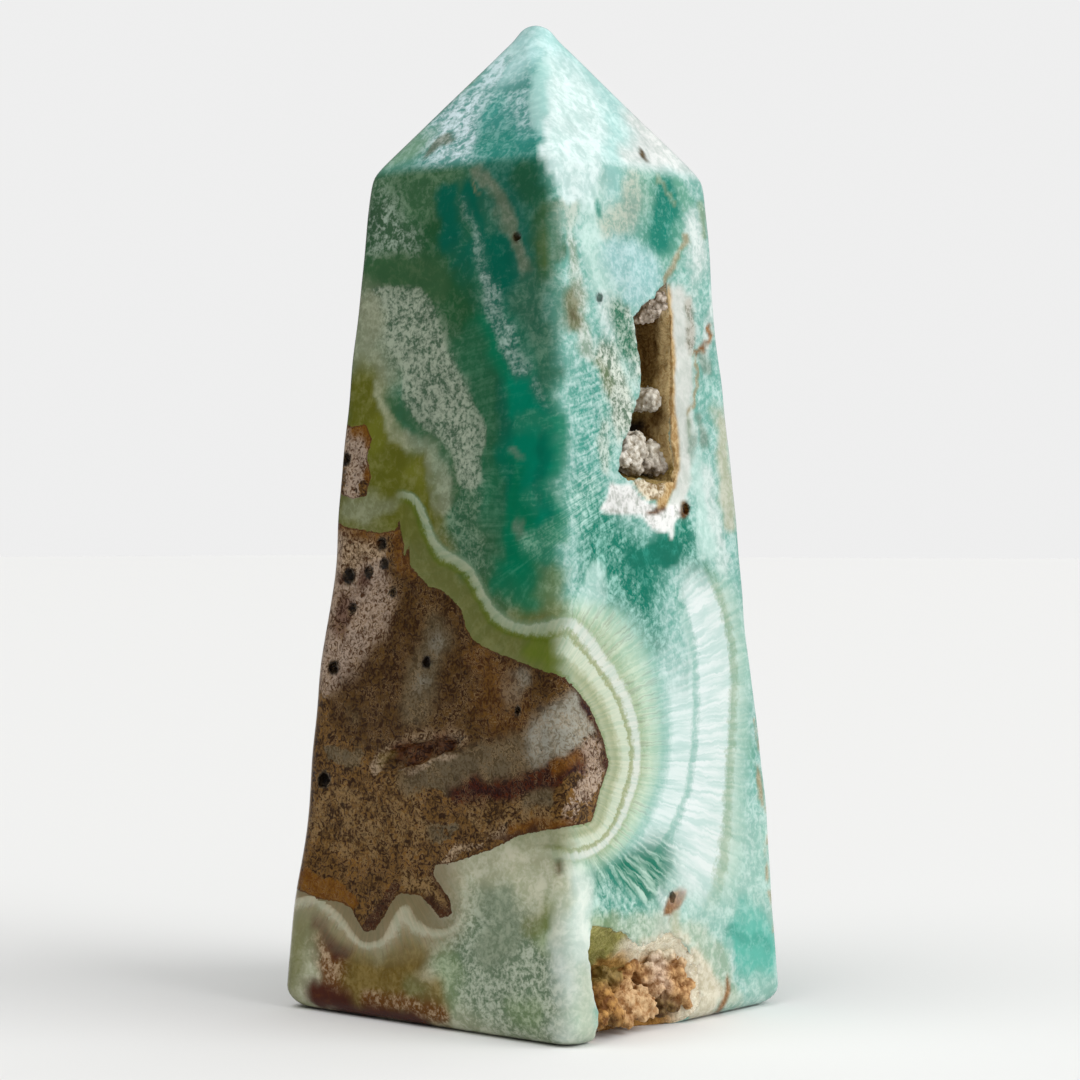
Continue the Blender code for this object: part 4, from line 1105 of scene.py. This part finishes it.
outer_distance = [-inside_distance(drawing, rounded(outline)) for outline in BAND_OUTLINES]
matrix_distance = inside_distance(drawing, MATRIX_OUTLINE)
levels = [-matrix_distance] + outer_distance
level = np.clip(-matrix_distance, -1, 0)
for index, (inner, outer) in enumerate(zip(levels, levels[1:])):
    between = inner / (inner - np.minimum(outer, -1e-6))
    level = np.where(inner >= 0, index + np.where(outer < 0, between, 1.0), level)
level = np.where(levels[-1] >= 0, 4 + levels[-1] / LAST_BAND_WIDTH, level)

fibre_line = rounded(FIBRE_LINE, closed=False)
steps = np.linalg.norm(np.diff(fibre_line, axis=0), axis=1)
run = np.concatenate([[0], np.cumsum(steps)])
stations = np.arange(0, run[-1], FIBRE_STEP)
line_points = np.stack([np.interp(stations, run, fibre_line[:, axis]) for axis in (0, 1)], axis=1)
pull = np.zeros(len(spots))
along = np.zeros(len(spots))
for station, point in zip(stations, line_points):
    force = 1 / (((drawing - point) ** 2).sum(axis=1) / FIBRE_PULL ** 2 + 0.05) ** 4
    pull += force
    along += force * station
along /= pull
off_line = FIBRE_PULL * pull ** -0.125

from_base = np.clip(BASE_ROUND - spots[:, 2], 0, BASE_ROUND)
base_inset = BASE_ROUND - np.sqrt(BASE_ROUND ** 2 - from_base ** 2)
opening = np.zeros(len(spots))
for rim in (POCKET_RIM, FOOT_RIM):
    within = inside_distance(spots[:, 1:3], rim)
    opening = np.maximum(opening, np.where(within > -HOLLOW_MARGIN,
                                           under["+X"] - base_inset - HOLLOW_SKIN, 0.0))
opening = np.where(under["+X"] > HOLLOW_DEEPEST, 0.0, np.clip(opening, 0.0, HOLLOW_KEPT))
opening[nearest_side == 2] = 0.0
inclusion = inside_distance(drawing, INCLUSION_OUTLINE)
rock = np.maximum(matrix_distance, inclusion) / PIXELS_PER_MM
opened = opening * np.where(height < FOOT_TOP, FOOT_ROCK, POCKET_ROCK) - ROCK_INSET
rock = np.clip(np.maximum(rock, opened), -ROCK_KEPT, ROCK_KEPT)


def keep(mesh, name, values):
    """Stores one value or colour for each point of a mesh."""
    kind = "FLOAT" if values.ndim == 1 else "FLOAT_COLOR"
    attribute = mesh.attributes.new(name, kind, "POINT")
    attribute.data.foreach_set("value" if kind == "FLOAT" else "color",
                               values.astype(np.float32).ravel())


keep(mesh, "stone_deep", np.hstack([stone_look[:, 0:3], stone_look[:, 6:7]]))
keep(mesh, "stone_veil", np.hstack([stone_look[:, 3:6], stone_look[:, 7:8]]))
keep(mesh, "cloudy", stone_look[:, 8])
keep(mesh, "rock_dark", np.hstack([rock_look[:, 0:3], rock_look[:, 6:7]]))
keep(mesh, "rock_light", rock_look[:, [3, 4, 5, 6]])
keep(mesh, "patch", patch)
keep(mesh, "rock", rock)
keep(mesh, "opening", opening)
keep(mesh, "level", level)
keep(mesh, "along", along)
keep(mesh, "off_line", off_line)
across, down = drawing.T


def fade(value, start, run):
    """A smooth step that starts at a value and takes a run, which is negative on its way down."""
    return smooth_step((value - start) / run)


bands_end = fade(down, 925, -60)
outer_rings = fade(down, 615, 90) * bands_end
second_ring = fade(down, 550, 50) * fade(across, 672, 20)
outer_rings = np.maximum(outer_rings, second_ring * smooth_step((level - 2.7) * 4) * bands_end)
outer_rings *= 1 - fade(down, 815, 50) * fade(across, 700, -45)
outer_rings *= fade(across, 860, -60)
outer_rings *= 1 - 0.35 * fade(down, 720, -60) * smooth_step((2.95 - level) * 6)
fringe = fade(down, 575, 45) * fade(down, 890, -50)
to_fringe = fade(level, 1.0, 0.25)
to_rings = fade(level, 1.75, 0.6)
ringed = (1 - to_fringe) + to_fringe * ((1 - to_rings) * fringe + to_rings * outer_rings)
keep(mesh, "right_bands", ringed * on_right)
lower = fade(down, 838, 16) * fade(across, 568, -30)
left_bands = (1 - on_right) * (1 - fade(across, 412, -20) * fade(down, 620, -60))
keep(mesh, "left_bands", left_bands * (1 - lower))
keep(mesh, "low_bands", left_bands * lower * (1 - 0.8 * fade(across, 436, 40)))

# The stone's finish: deep colour under a veil in grains, clouds or fibres, then the growth
# bands, then the brown rock with its grains. The polish is glossy, the rock duller.
FINE_GRAIN = 3600
MID_GRAIN = 1500
CLOUD_SIZE = 420
CURL_SIZE = 1700
DRIFT_SIZE = 170
GRAIN_CONTRAST = 3.8
CLOUD_CONTRAST = 3.2
FIBRE_CONTRAST = 3.0
FIBRE_PITCH = 5.2
FIBRE_LENGTH = 42.0
VEIL_SOFTNESS = 0.34
LEVELS = 5.0
POLISH = 0.11
ROCK_POLISH = 0.34
BROKEN_ROCK = 0.78
OCHRE_TINT = (1.3, 1.1, 0.55)
CURL_STRENGTH = 0.5
CURL_TONE = (0.3, 0.195, 0.095, 1.0)
BETWEEN_FEATHERS = (0.66, 0.84, 0.8)
RIM_STRENGTH = 0.75
RIM_TONE = (0.055, 0.02, 0.005, 1.0)
RIGHT_BANDS = (
    (0.0, (0.26, 0.28, 0.14), 0.9), (0.12, (0.37, 0.38, 0.25), 0.95),
    (0.28, (0.32, 0.34, 0.2), 0.95), (0.4, (0.42, 0.44, 0.3), 1.0), (0.5, (0.52, 0.56, 0.43), 1.0),
    (0.7, (0.54, 0.58, 0.46), 1.0), (0.76, (0.3, 0.33, 0.18), 1.0), (0.84, (0.36, 0.39, 0.25), 1.0),
    (0.92, (0.58, 0.61, 0.54), 1.0), (1.08, (0.58, 0.61, 0.54), 1.0),
    (1.18, (0.38, 0.44, 0.28), 0.9), (1.5, (0.54, 0.62, 0.47), 0.85), (1.8, (0.46, 0.59, 0.48), 0.8),
    (1.95, (0.36, 0.53, 0.45), 0.8), (2.12, (0.42, 0.57, 0.52), 0.8),
    (2.3, (0.62, 0.7, 0.68), 0.95), (2.86, (0.64, 0.71, 0.69), 0.95),
    (2.96, (0.36, 0.52, 0.47), 0.9), (3.04, (0.4, 0.54, 0.5), 0.9),
    (3.14, (0.68, 0.73, 0.72), 0.95), (3.84, (0.66, 0.71, 0.69), 0.95),
    (3.94, (0.34, 0.42, 0.31), 0.85), (4.03, (0.38, 0.46, 0.35), 0.85),
    (4.12, (0.5, 0.6, 0.52), 0.8), (4.3, (0.44, 0.57, 0.48), 0.5), (4.55, (0.4, 0.54, 0.46), 0.0),
)
LOW_BANDS = (
    (0.0, (0.2, 0.15, 0.085), 0.85), (0.3, (0.2, 0.15, 0.08), 0.9), (0.75, (0.22, 0.165, 0.09), 0.95),
    (0.92, (0.39, 0.34, 0.23), 1.0), (1.1, (0.43, 0.39, 0.28), 1.0), (1.22, (0.31, 0.25, 0.15), 0.8),
    (1.5, (0.27, 0.22, 0.12), 0.4), (1.9, (0.28, 0.24, 0.14), 0.0),
)
LEFT_BANDS = (
    (0.0, (0.16, 0.165, 0.06), 0.5), (0.3, (0.13, 0.135, 0.04), 0.4), (0.56, (0.12, 0.13, 0.035), 0.5),
    (0.66, (0.09, 0.115, 0.012), 0.85), (0.74, (0.12, 0.15, 0.03), 0.85),
    (0.84, (0.27, 0.31, 0.19), 1.0), (1.04, (0.31, 0.35, 0.24), 1.0),
    (1.12, (0.17, 0.26, 0.16), 0.5), (1.3, (0.14, 0.24, 0.14), 0.0),
)


class Wire:
    """A node's output, on which Python's operators build Math nodes."""

    def __init__(self, finish, socket):
        self.finish = finish
        self.socket = socket

    def maths(self, operation, *values):
        return self.finish.node("Math", {"operation": operation},
                                dict(enumerate(values)))

    def __add__(self, other):
        return self.maths("ADD", self, other)

    def __sub__(self, other):
        return self.maths("SUBTRACT", self, other)

    def __rsub__(self, other):
        return self.maths("SUBTRACT", other, self)

    def __mul__(self, other):
        return self.maths("MULTIPLY", self, other)

    def __truediv__(self, other):
        return self.maths("DIVIDE", self, other)

    __radd__ = __add__
    __rmul__ = __mul__

    def largest(self, other):
        return self.maths("MAXIMUM", self, other)

    def rise(self, low, high):
        """0 below low, 1 above high, and a smooth step between."""
        return self.finish.node(
            "MapRange", {"interpolation_type": "SMOOTHSTEP"},
            {"Value": self, "From Min": low, "From Max": high, "To Min": 0.0, "To Max": 1.0})


class Finish:
    """A material in the making, with one method that makes any node."""

    def __init__(self, name):
        self.material = bpy.data.materials.new(name)
        self.material.use_nodes = True
        self.tree = self.material.node_tree
        self.shader = self.tree.nodes["Principled BSDF"]
        self.place = self.node("TexCoord", output="Object")

    def node(self, kind, settings=None, inputs=None, output=None):
        made = self.tree.nodes.new("ShaderNode" + kind)
        for setting, value in (settings or {}).items():
            if setting == "stops":
                self.set_stops(made.color_ramp, value)
            else:
                setattr(made, setting, value)
        for name, value in (inputs or {}).items():
            self.plug(self.socket(made.inputs, name), value)
        return Wire(self, self.socket(made.outputs, output))

    def socket(self, sockets, name):
        shown = [socket for socket in sockets if socket.enabled]
        if name is None or isinstance(name, int):
            return shown[name or 0]
        return next(socket for socket in shown if socket.name == name)

    def set_stops(self, ramp, stops):
        while len(ramp.elements) < len(stops):
            ramp.elements.new(1.0)
        for element, (position, colour) in zip(ramp.elements, stops):
            element.position = position
            element.color = colour

    def plug(self, socket, value):
        if isinstance(value, Wire):
            self.tree.links.new(value.socket, socket)
        else:
            socket.default_value = value

    def attribute(self, name, output="Fac"):
        return self.node("Attribute", {"attribute_name": name}, output=output)

    def grain(self, scale, detail=2.0, roughness=0.6, distortion=0.0, place=None):
        return self.node("TexNoise", None,
                         {"Vector": place or self.place, "Scale": scale, "Detail": detail,
                          "Roughness": roughness, "Distortion": distortion}, "Fac")

    def mix(self, share, first, second):
        return self.node("Mix", {"data_type": "RGBA"},
                         {"Factor": share, "A": first, "B": second}, "Result")

    def shade(self, colour, share):
        """The colour times a number."""
        return self.node("VectorMath", {"operation": "SCALE"},
                         {"Vector": colour, "Scale": share}, "Vector")

    def vector(self, x, y, z=0.0):
        return self.node("CombineXYZ", None, {"X": x, "Y": y, "Z": z}, "Vector")

    def bump(self, relief, distance, strength=1.0):
        return self.node("Bump", None, {"Height": relief, "Distance": distance,
                                        "Strength": strength}, "Normal")

    def finished(self, **inputs):
        for name, value in inputs.items():
            self.plug(self.shader.inputs[name.replace("_", " ")], value)
        return self.material


polished = Finish("banded_stone_polish")
fine = polished.grain(FINE_GRAIN, 2.0, 0.65)
middle = polished.grain(MID_GRAIN, 3.0, 0.6, 0.6)
clouds = polished.grain(CLOUD_SIZE, 4.0, 0.58, 0.8)
drift = polished.grain(DRIFT_SIZE, 2.0, 0.5)
curls = polished.grain(CURL_SIZE, 3.0, 0.62, 1.6)
along_line = polished.attribute("along") + (clouds - 0.5) * 6 + (middle - 0.5) * 2.6
off = polished.attribute("off_line")
fibres = polished.grain(1.0, 2.5, 0.62, 0.0, polished.vector(
    along_line / FIBRE_PITCH, off / FIBRE_LENGTH, drift * 2))
fine_fibres = polished.grain(1.0, 1.0, 0.5, 0.0, polished.vector(
    along_line / (FIBRE_PITCH * 0.5), off / (FIBRE_LENGTH * 0.6), 4.0))

granular = (fine * 0.3 + middle * 0.5 + clouds * 0.2 - 0.5) * GRAIN_CONTRAST + 0.5
cloudy = (clouds * 0.55 + middle * 0.45 - 0.5) * CLOUD_CONTRAST + 0.5
fibrous = (fibres * 0.6 + fine_fibres * 0.4 - 0.5) * FIBRE_CONTRAST + 0.5
fibre_share = polished.attribute("stone_veil", "Alpha")
cloud_share = polished.attribute("cloudy")
veil = granular * (1 - fibre_share - cloud_share) + fibrous * fibre_share + cloudy * cloud_share
cover = polished.attribute("stone_deep", "Alpha")
threshold = 1 - cover
covered = (veil - threshold + VEIL_SOFTNESS).rise(0.0, 2 * VEIL_SOFTNESS)
colour = polished.mix(covered, polished.attribute("stone_deep", "Color"),
                      polished.attribute("stone_veil", "Color"))
colour = polished.shade(colour, 0.66 + drift * 0.36 + clouds * 0.3)

level = polished.attribute("level")
position = level + (middle - 0.5) * 0.22 + (fine - 0.5) * 0.12 + (fibres - 0.5) * 0.16
feathered = fibrous.rise(0.1, 0.85)
feathering = 0.55 + level.rise(1.1, 1.3) * 0.25
plain = 1 - feathering * (1 - feathered)
ticks = fine_fibres.rise(0.58, 0.68) * level.rise(1.05, 1.2) * (1 - level.rise(1.9, 2.2)) * 0.26
for bands, side in ((LEFT_BANDS, "left_bands"), (LOW_BANDS, "low_bands"),
                    (RIGHT_BANDS, "right_bands")):
    stops = [(start / LEVELS, (*tone, share)) for start, tone, share in bands]
    ramp = polished.node("ValToRGB", {"stops": stops}, {"Fac": position / LEVELS}, "Color")
    share = Wire(polished, ramp.socket.node.outputs["Alpha"])
    between = polished.node("VectorMath", {"operation": "MULTIPLY"},
                            {0: ramp, 1: BETWEEN_FEATHERS}, "Vector")
    band_colour = polished.mix(plain, between, polished.shade(ramp, 1.06))
    band_colour = polished.shade(band_colour, 1 - ticks)
    colour = polished.mix(share * polished.attribute(side), colour, band_colour)

rock_depth = polished.attribute("rock") + (middle - 0.5) * 0.55 + (fine - 0.5) * 0.3
in_rock = rock_depth.rise(-0.04, 0.04)
opening_depth = polished.attribute("opening")
broken = opening_depth.rise(0.1, 0.5)
rock_grain = (fine * 0.25 + curls * 0.75 - 0.5) * (3.4 - broken * 1.6) + 0.5
rock_light = (rock_grain - 1 + polished.attribute("rock_dark", "Alpha") + 0.36).rise(0.0, 0.72)
patch_colour = polished.mix(rock_light, polished.attribute("rock_dark", "Color"),
                            polished.attribute("rock_light", "Color"))
base_dark, base_light, base_cover = ROCK_FINISHES["brown"]
rock_colour = polished.mix((rock_grain - 1 + base_cover + 0.4).rise(0.0, 0.8),
                           (*base_dark, 1.0), (*base_light, 1.0))
ochre = polished.node("VectorMath", {"operation": "MULTIPLY"},
                      {0: rock_colour, 1: OCHRE_TINT}, "Vector")
rock_colour = polished.mix(clouds.rise(0.46, 0.66) * 0.6, rock_colour, ochre)
frayed = (polished.attribute("patch") + (clouds - 0.5) * 1.1 + (middle - 0.5) * 1.0
          + (fine - 0.5) * 0.5).rise(0.42, 0.6)
rock_colour = polished.mix(frayed, rock_colour, patch_colour)
curl_edge = (curls - 0.5) * (curls - 0.5)
worms = curl_edge.rise(0.0012, 0.0) * clouds.rise(0.4, 0.6) * (1 - broken)
rock_colour = polished.mix(worms * CURL_STRENGTH, rock_colour, CURL_TONE)
dark_pores = (middle * 0.8 + fine * 0.2).rise(0.6, 0.66) * 0.6 * (1 - broken)
rock_colour = polished.shade(rock_colour, (0.76 + clouds * 0.5) * (1 - dark_pores))
rim = rock_depth.rise(0.0, 0.1) * (1 - rock_depth.rise(0.12, 0.3))
rim = rim * (1 - opening_depth.rise(0, 0.1))
rock_colour = polished.mix(rim * RIM_STRENGTH, rock_colour, RIM_TONE)
colour = polished.mix(in_rock, colour, rock_colour)

relief = in_rock * (rock_grain * 0.5 + broken * (clouds * 4 + rock_grain * 1.5))
polished.finished(
    Base_Color=colour,
    Roughness=POLISH + (fine - 0.5) * 0.05 + in_rock * (ROCK_POLISH - POLISH)
    + broken * (BROKEN_ROCK - ROCK_POLISH),
    Normal=polished.bump(relief, 0.00012, 0.6),
    Specular_IOR_Level=0.13,
    Subsurface_Weight=0.12,
    Subsurface_Scale=0.0016,
    Subsurface_Radius=(0.8, 1.0, 0.9),
)
mesh.materials.clear()
mesh.materials.append(polished.material)
mesh.shade_smooth()
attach(stone, "root")
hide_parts("aragonite_generator")

# The crystals in the tall hollow
# Small crystals grew over the hollow's walls as one crust: a coral-like lump beside smooth grey
# ones at its foot, a nodule half way up and a rough patch at the top.
# It is one skin over lumps. Each lump has its pixel, its depth under the face and its radius.
TALL_HOLLOW_LUMPS = (
    (628, 453, 1.7, 1.0), (634, 446, 1.8, 1.15), (637, 439, 2.1, 0.85), (624, 460, 1.4, 0.75),
    (633, 459, 1.8, 0.95), (641, 453, 2.0, 0.75), (627, 442, 1.9, 0.7), (619, 455, 1.5, 0.5),
    (650, 449, 2.4, 0.95), (659, 447, 2.2, 0.85), (652, 460, 2.3, 0.95), (663, 458, 1.8, 0.8),
    (656, 468, 1.9, 0.8), (646, 466, 2.0, 0.7), (664, 468, 1.4, 0.6), (636, 468, 2.0, 0.8),
    (652, 400, 2.4, 1.25), (646, 404, 2.9, 0.7), (659, 404, 2.0, 0.6), (652, 391, 2.7, 0.6),
    (659, 421, 3.6, 0.55), (664, 427, 3.2, 0.35),
    (661, 298, 1.1, 0.7), (654, 304, 1.8, 0.6), (665, 306, 0.8, 0.5), (648, 312, 2.5, 0.6),
    (657, 313, 1.6, 0.6), (643, 318, 3.0, 0.6), (666, 291, 0.7, 0.45), (650, 318, 2.2, 0.45),
    (664, 316, 1.2, 0.35),
)
TALL_HOLLOW_STROKES = (
    ("coral", 1.0, 50, (626, 460), (634, 440)),
    ("grey_lump", 1.0, 22, (652, 446), (656, 458), (656, 470)),
    ("nodule", 1.0, 34, (651, 398), (655, 425)),
    ("top_crystal", 1.0, 40, (661, 296), (645, 318)),
)
LUMP_ROOT = 4.4
CRUST_SKIN = 0.13
TALL_HOLLOW_GRAIN = 0.62
CRUST_RELIEF = 0.36
MIDDLE_CELL = 0.42
FINE_RELIEF = 0.1
FINE_RELIEF_SIZE = 0.3
GRAIN_THICKNESS = 0.12
GRAIN_SIZES = (0.07, 0.2)
GRAINS_PER_AREA = 1.2
LOWEST = 0.25


def under_face(pixel, depth):
    """The point that shows at a pixel, at a depth under the face with the hollows."""
    ray = (-towards_camera + to_the_right * (pixel[0] - PHOTO_SIZE / 2) / FOCUS
           + upwards * (PHOTO_SIZE / 2 - pixel[1]) / FOCUS)
    low = BASE_SIZE[0] / 2
    high = SHOULDER_SHIFT[0] + SHOULDER_SIZE[0] / 2
    lean = (low - high) / SHOULDER_HEIGHT
    run = (low - depth - lean * eye[2] - eye[0]) / (ray[0] + lean * ray[2])
    return eye + ray * run


def crust(name, lumps, strokes, material, grain, seed):
    """Lumps that grow out of a hollow's back, under one skin with a grain and small crystals."""
    bm = bmesh.new()
    for across, down, depth, radius in lumps:
        place = Vector(under_face((across, down), depth))
        roots = math.ceil((LUMP_ROOT - depth) / radius) if depth > 1.0 else 1
        for root in range(roots):
            made = bmesh.ops.create_icosphere(bm, subdivisions=3, radius=radius)
            bmesh.ops.translate(bm, verts=made["verts"],
                                vec=place - Vector((radius * 0.9 * root, 0.0, 0.0)))
    rough_mesh = bpy.data.meshes.new(name)
    bm.to_mesh(rough_mesh)
    bm.free()
    piece = bpy.data.objects.new(name, rough_mesh)
    bpy.context.scene.collection.objects.link(piece)
    skinned = piece.modifiers.new("skin", "REMESH")
    skinned.mode = "VOXEL"
    skinned.voxel_size = CRUST_SKIN
    piece.data = bpy.data.meshes.new_from_object(piece.evaluated_get(
        bpy.context.evaluated_depsgraph_get()))
    piece.modifiers.clear()
    for vert, normal in zip(piece.data.vertices, [corner.vector.copy() for corner
                                                  in piece.data.vertex_normals]):
        cell = noise.voronoi(vert.co / grain)[0][0]
        fine_relief = FINE_RELIEF * noise.noise(vert.co / FINE_RELIEF_SIZE)
        vert.co += normal * (CRUST_RELIEF * (MIDDLE_CELL - cell) + fine_relief)
        vert.co.z = max(vert.co.z, LOWEST)
    piece.data.shade_smooth()
    grow_grains(piece, material, seed)
    spots = np.empty(len(piece.data.vertices) * 3)
    piece.data.vertices.foreach_get("co", spots)
    spots = spots.reshape(-1, 3)
    look = np.tile(rock_palette[strokes[0][0]], (len(spots), 1))
    covered = np.zeros(len(spots))
    for finish, strength, pixels, *points in strokes:
        lay_patch(spots, look, covered, rock_palette[finish], strength, pixels / PIXELS_PER_MM,
                  [under_face(pixel, 1.5) for pixel in points])
    # How far each point lies towards the crevices between cells, which the finish uses to paint shade
    # into them.
    cells = np.array([noise.voronoi(Vector(spot) / grain)[0][0] for spot in spots])
    keep(piece.data, "crevice", cells)
    keep(piece.data, "rock_dark", np.hstack([look[:, 0:3], look[:, 6:7]]))
    keep(piece.data, "rock_light", look[:, [3, 4, 5, 6]])
    piece.data.transform(Matrix.Scale(MM, 4))
    return piece


def grow_grains(piece, material, seed):
    """Scatters small faceted crystals over a crust with Geometry Nodes."""
    tree = bpy.data.node_groups.new("crystal_grains", "GeometryNodeTree")
    for label, kind in (("Crust", "NodeSocketGeometry"), ("Grains per area", "NodeSocketFloat"),
                        ("Smallest", "NodeSocketFloat"), ("Largest", "NodeSocketFloat"),
                        ("Seed", "NodeSocketInt")):
        tree.interface.new_socket(label, in_out="INPUT", socket_type=kind)
    tree.interface.new_socket("Crust", in_out="OUTPUT", socket_type="NodeSocketGeometry")
    given = tree.nodes.new("NodeGroupInput").outputs
    sown = tree.nodes.new("GeometryNodeDistributePointsOnFaces")
    crystal = tree.nodes.new("GeometryNodeMeshIcoSphere")
    size = tree.nodes.new("FunctionNodeRandomValue")
    turn = tree.nodes.new("FunctionNodeRandomValue")
    turn.data_type = "FLOAT_VECTOR"
    turn.inputs["Max"].default_value = (math.tau, math.tau, math.tau)
    shape = tree.nodes.new("ShaderNodeCombineXYZ")
    shape.inputs["Y"].default_value = GRAIN_THICKNESS
    placed = tree.nodes.new("GeometryNodeInstanceOnPoints")
    joined = tree.nodes.new("GeometryNodeJoinGeometry")
    real = tree.nodes.new("GeometryNodeRealizeInstances")
    finished = tree.nodes.new("GeometryNodeSetMaterial")
    finished.inputs["Material"].default_value = material
    crystal.inputs["Radius"].default_value = 1.0
    crystal.inputs["Subdivisions"].default_value = 1
    size_range = [socket for socket in size.inputs if socket.enabled]
    for start, end in (
            (given["Crust"], sown.inputs["Mesh"]),
            (given["Grains per area"], sown.inputs["Density"]),
            (given["Seed"], sown.inputs["Seed"]), (given["Smallest"], size_range[0]),
            (given["Largest"], size_range[1]), (size.outputs["Value"], shape.inputs["X"]),
            (size.outputs["Value"], shape.inputs["Z"]),
            (shape.outputs["Vector"], placed.inputs["Scale"]),
            (sown.outputs["Points"], placed.inputs["Points"]),
            (crystal.outputs["Mesh"], placed.inputs["Instance"]),
            (turn.outputs["Value"], placed.inputs["Rotation"]),
            (given["Crust"], joined.inputs["Geometry"]),
            (placed.outputs["Instances"], joined.inputs["Geometry"]),
            (joined.outputs["Geometry"], real.inputs["Geometry"]),
            (real.outputs["Geometry"], finished.inputs["Geometry"]),
            (finished.outputs["Geometry"], tree.nodes.new("NodeGroupOutput").inputs["Crust"])):
        tree.links.new(start, end)
    grains = piece.modifiers.new("grains", "NODES")
    grains.node_group = tree
    chosen = {"Grains per area": GRAINS_PER_AREA, "Smallest": GRAIN_SIZES[0],
              "Largest": GRAIN_SIZES[1], "Seed": seed}
    for socket in tree.interface.items_tree:
        if socket.in_out == "INPUT" and socket.name in chosen:
            grains[socket.identifier] = chosen[socket.name]
    piece.data = bpy.data.meshes.new_from_object(piece.evaluated_get(
        bpy.context.evaluated_depsgraph_get()))
    piece.modifiers.clear()


def crust_finish(name):
    """The dull, grainy finish of a crust, in the two tones kept on its points, darkened along the
    crevices between its cells, which is painted shade.
    """
    made = Finish(name)
    fine = made.grain(5200, 2.0, 0.6)
    curls = made.grain(2300, 3.0, 0.62, 1.2)
    # The crevices between cells are made darker: painted shade.
    light = (fine * 0.3 + curls * 0.7 - 0.5) * 1.6 - made.attribute("crevice") * 1.1 + 0.4
    share = (light + made.attribute("rock_dark", "Alpha")).rise(0.0, 1.0)
    colour = made.mix(share, made.attribute("rock_dark", "Color"),
                      made.attribute("rock_light", "Color"))
    return made.finished(
        Base_Color=colour,
        Roughness=0.6 + (fine - 0.5) * 0.5,
        Normal=made.bump(fine + curls, 0.0001, 0.5),
        Specular_IOR_Level=0.3,
    )


pocket_crust = crust("tall_hollow_crystals", TALL_HOLLOW_LUMPS, TALL_HOLLOW_STROKES,
                     crust_finish("tall_hollow_crust"), TALL_HOLLOW_GRAIN, 11)
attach(pocket_crust, "root")
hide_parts("pocket_crystals")

# The crystals in the hollow at the foot
# An orange-brown crust fills the hollow that the base cuts through: a round dome of lumps with
# pinkish grains, a paler block beside it, and a rough mass behind them up to the left lip.
FOOT_HOLLOW_LUMPS = (
    (655, 958, 1.9, 1.0), (668, 955, 1.6, 0.95), (679, 962, 1.3, 0.85), (649, 971, 2.0, 1.0),
    (663, 971, 1.5, 1.1), (676, 974, 1.2, 1.05), (688, 984, 0.9, 0.75), (654, 986, 1.8, 1.15),
    (668, 989, 1.4, 1.1), (681, 994, 1.1, 0.95), (672, 1004, 1.4, 0.9), (661, 1001, 1.8, 0.9),
    (687, 1004, 0.9, 0.6), (631, 999, 1.8, 0.95), (640, 994, 1.6, 0.9), (646, 1004, 1.3, 0.95),
    (632, 1010, 1.6, 0.95), (651, 1010, 1.3, 0.7), (641, 1014, 1.4, 0.8), (599, 990, 1.5, 1.1),
    (612, 980, 1.9, 1.1), (622, 985, 2.1, 1.0), (605, 1004, 1.5, 1.2), (618, 999, 2.0, 1.1),
    (599, 1018, 1.2, 1.0), (614, 1016, 1.5, 1.1), (627, 1020, 1.5, 0.8), (625, 971, 2.3, 0.9),
    (632, 964, 2.5, 0.8), (641, 976, 2.4, 0.9), (604, 974, 2.0, 0.8), (660, 1012, 1.8, 0.6),
)
FOOT_HOLLOW_STROKES = (
    ("orange", 1.0, 90, (600, 1000), (690, 990)),
    ("amber_lump", 1.0, 34, (660, 965), (668, 990), (680, 1000)),
    ("foot_cream", 0.9, 13, (650, 950), (666, 946), (680, 952)),
    ("pink_grain", 0.8, 10, (656, 962), (656, 978), (660, 986)),
    ("amber_lump", 1.0, 9, (672, 958), (680, 972), (674, 992)),
    ("pink_grain", 0.8, 9, (640, 990), (652, 996)),
    ("cream_block", 1.0, 22, (632, 1000), (642, 1006)),
    ("foot_cream", 0.8, 9, (694, 976), (692, 1000)),
    ("rust_wall", 1.0, 14, (662, 1010), (670, 1014)),
    ("olive_wall", 0.9, 14, (600, 972), (612, 970)),
    ("rust_wall", 0.7, 10, (598, 1020), (612, 1024)),
)
FOOT_HOLLOW_GRAIN = 0.85
foot_crust = crust("foot_hollow_crystals", FOOT_HOLLOW_LUMPS, FOOT_HOLLOW_STROKES,
                   crust_finish("foot_hollow_crust"), FOOT_HOLLOW_GRAIN, 23)
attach(foot_crust, "root")
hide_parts("foot_crystals")
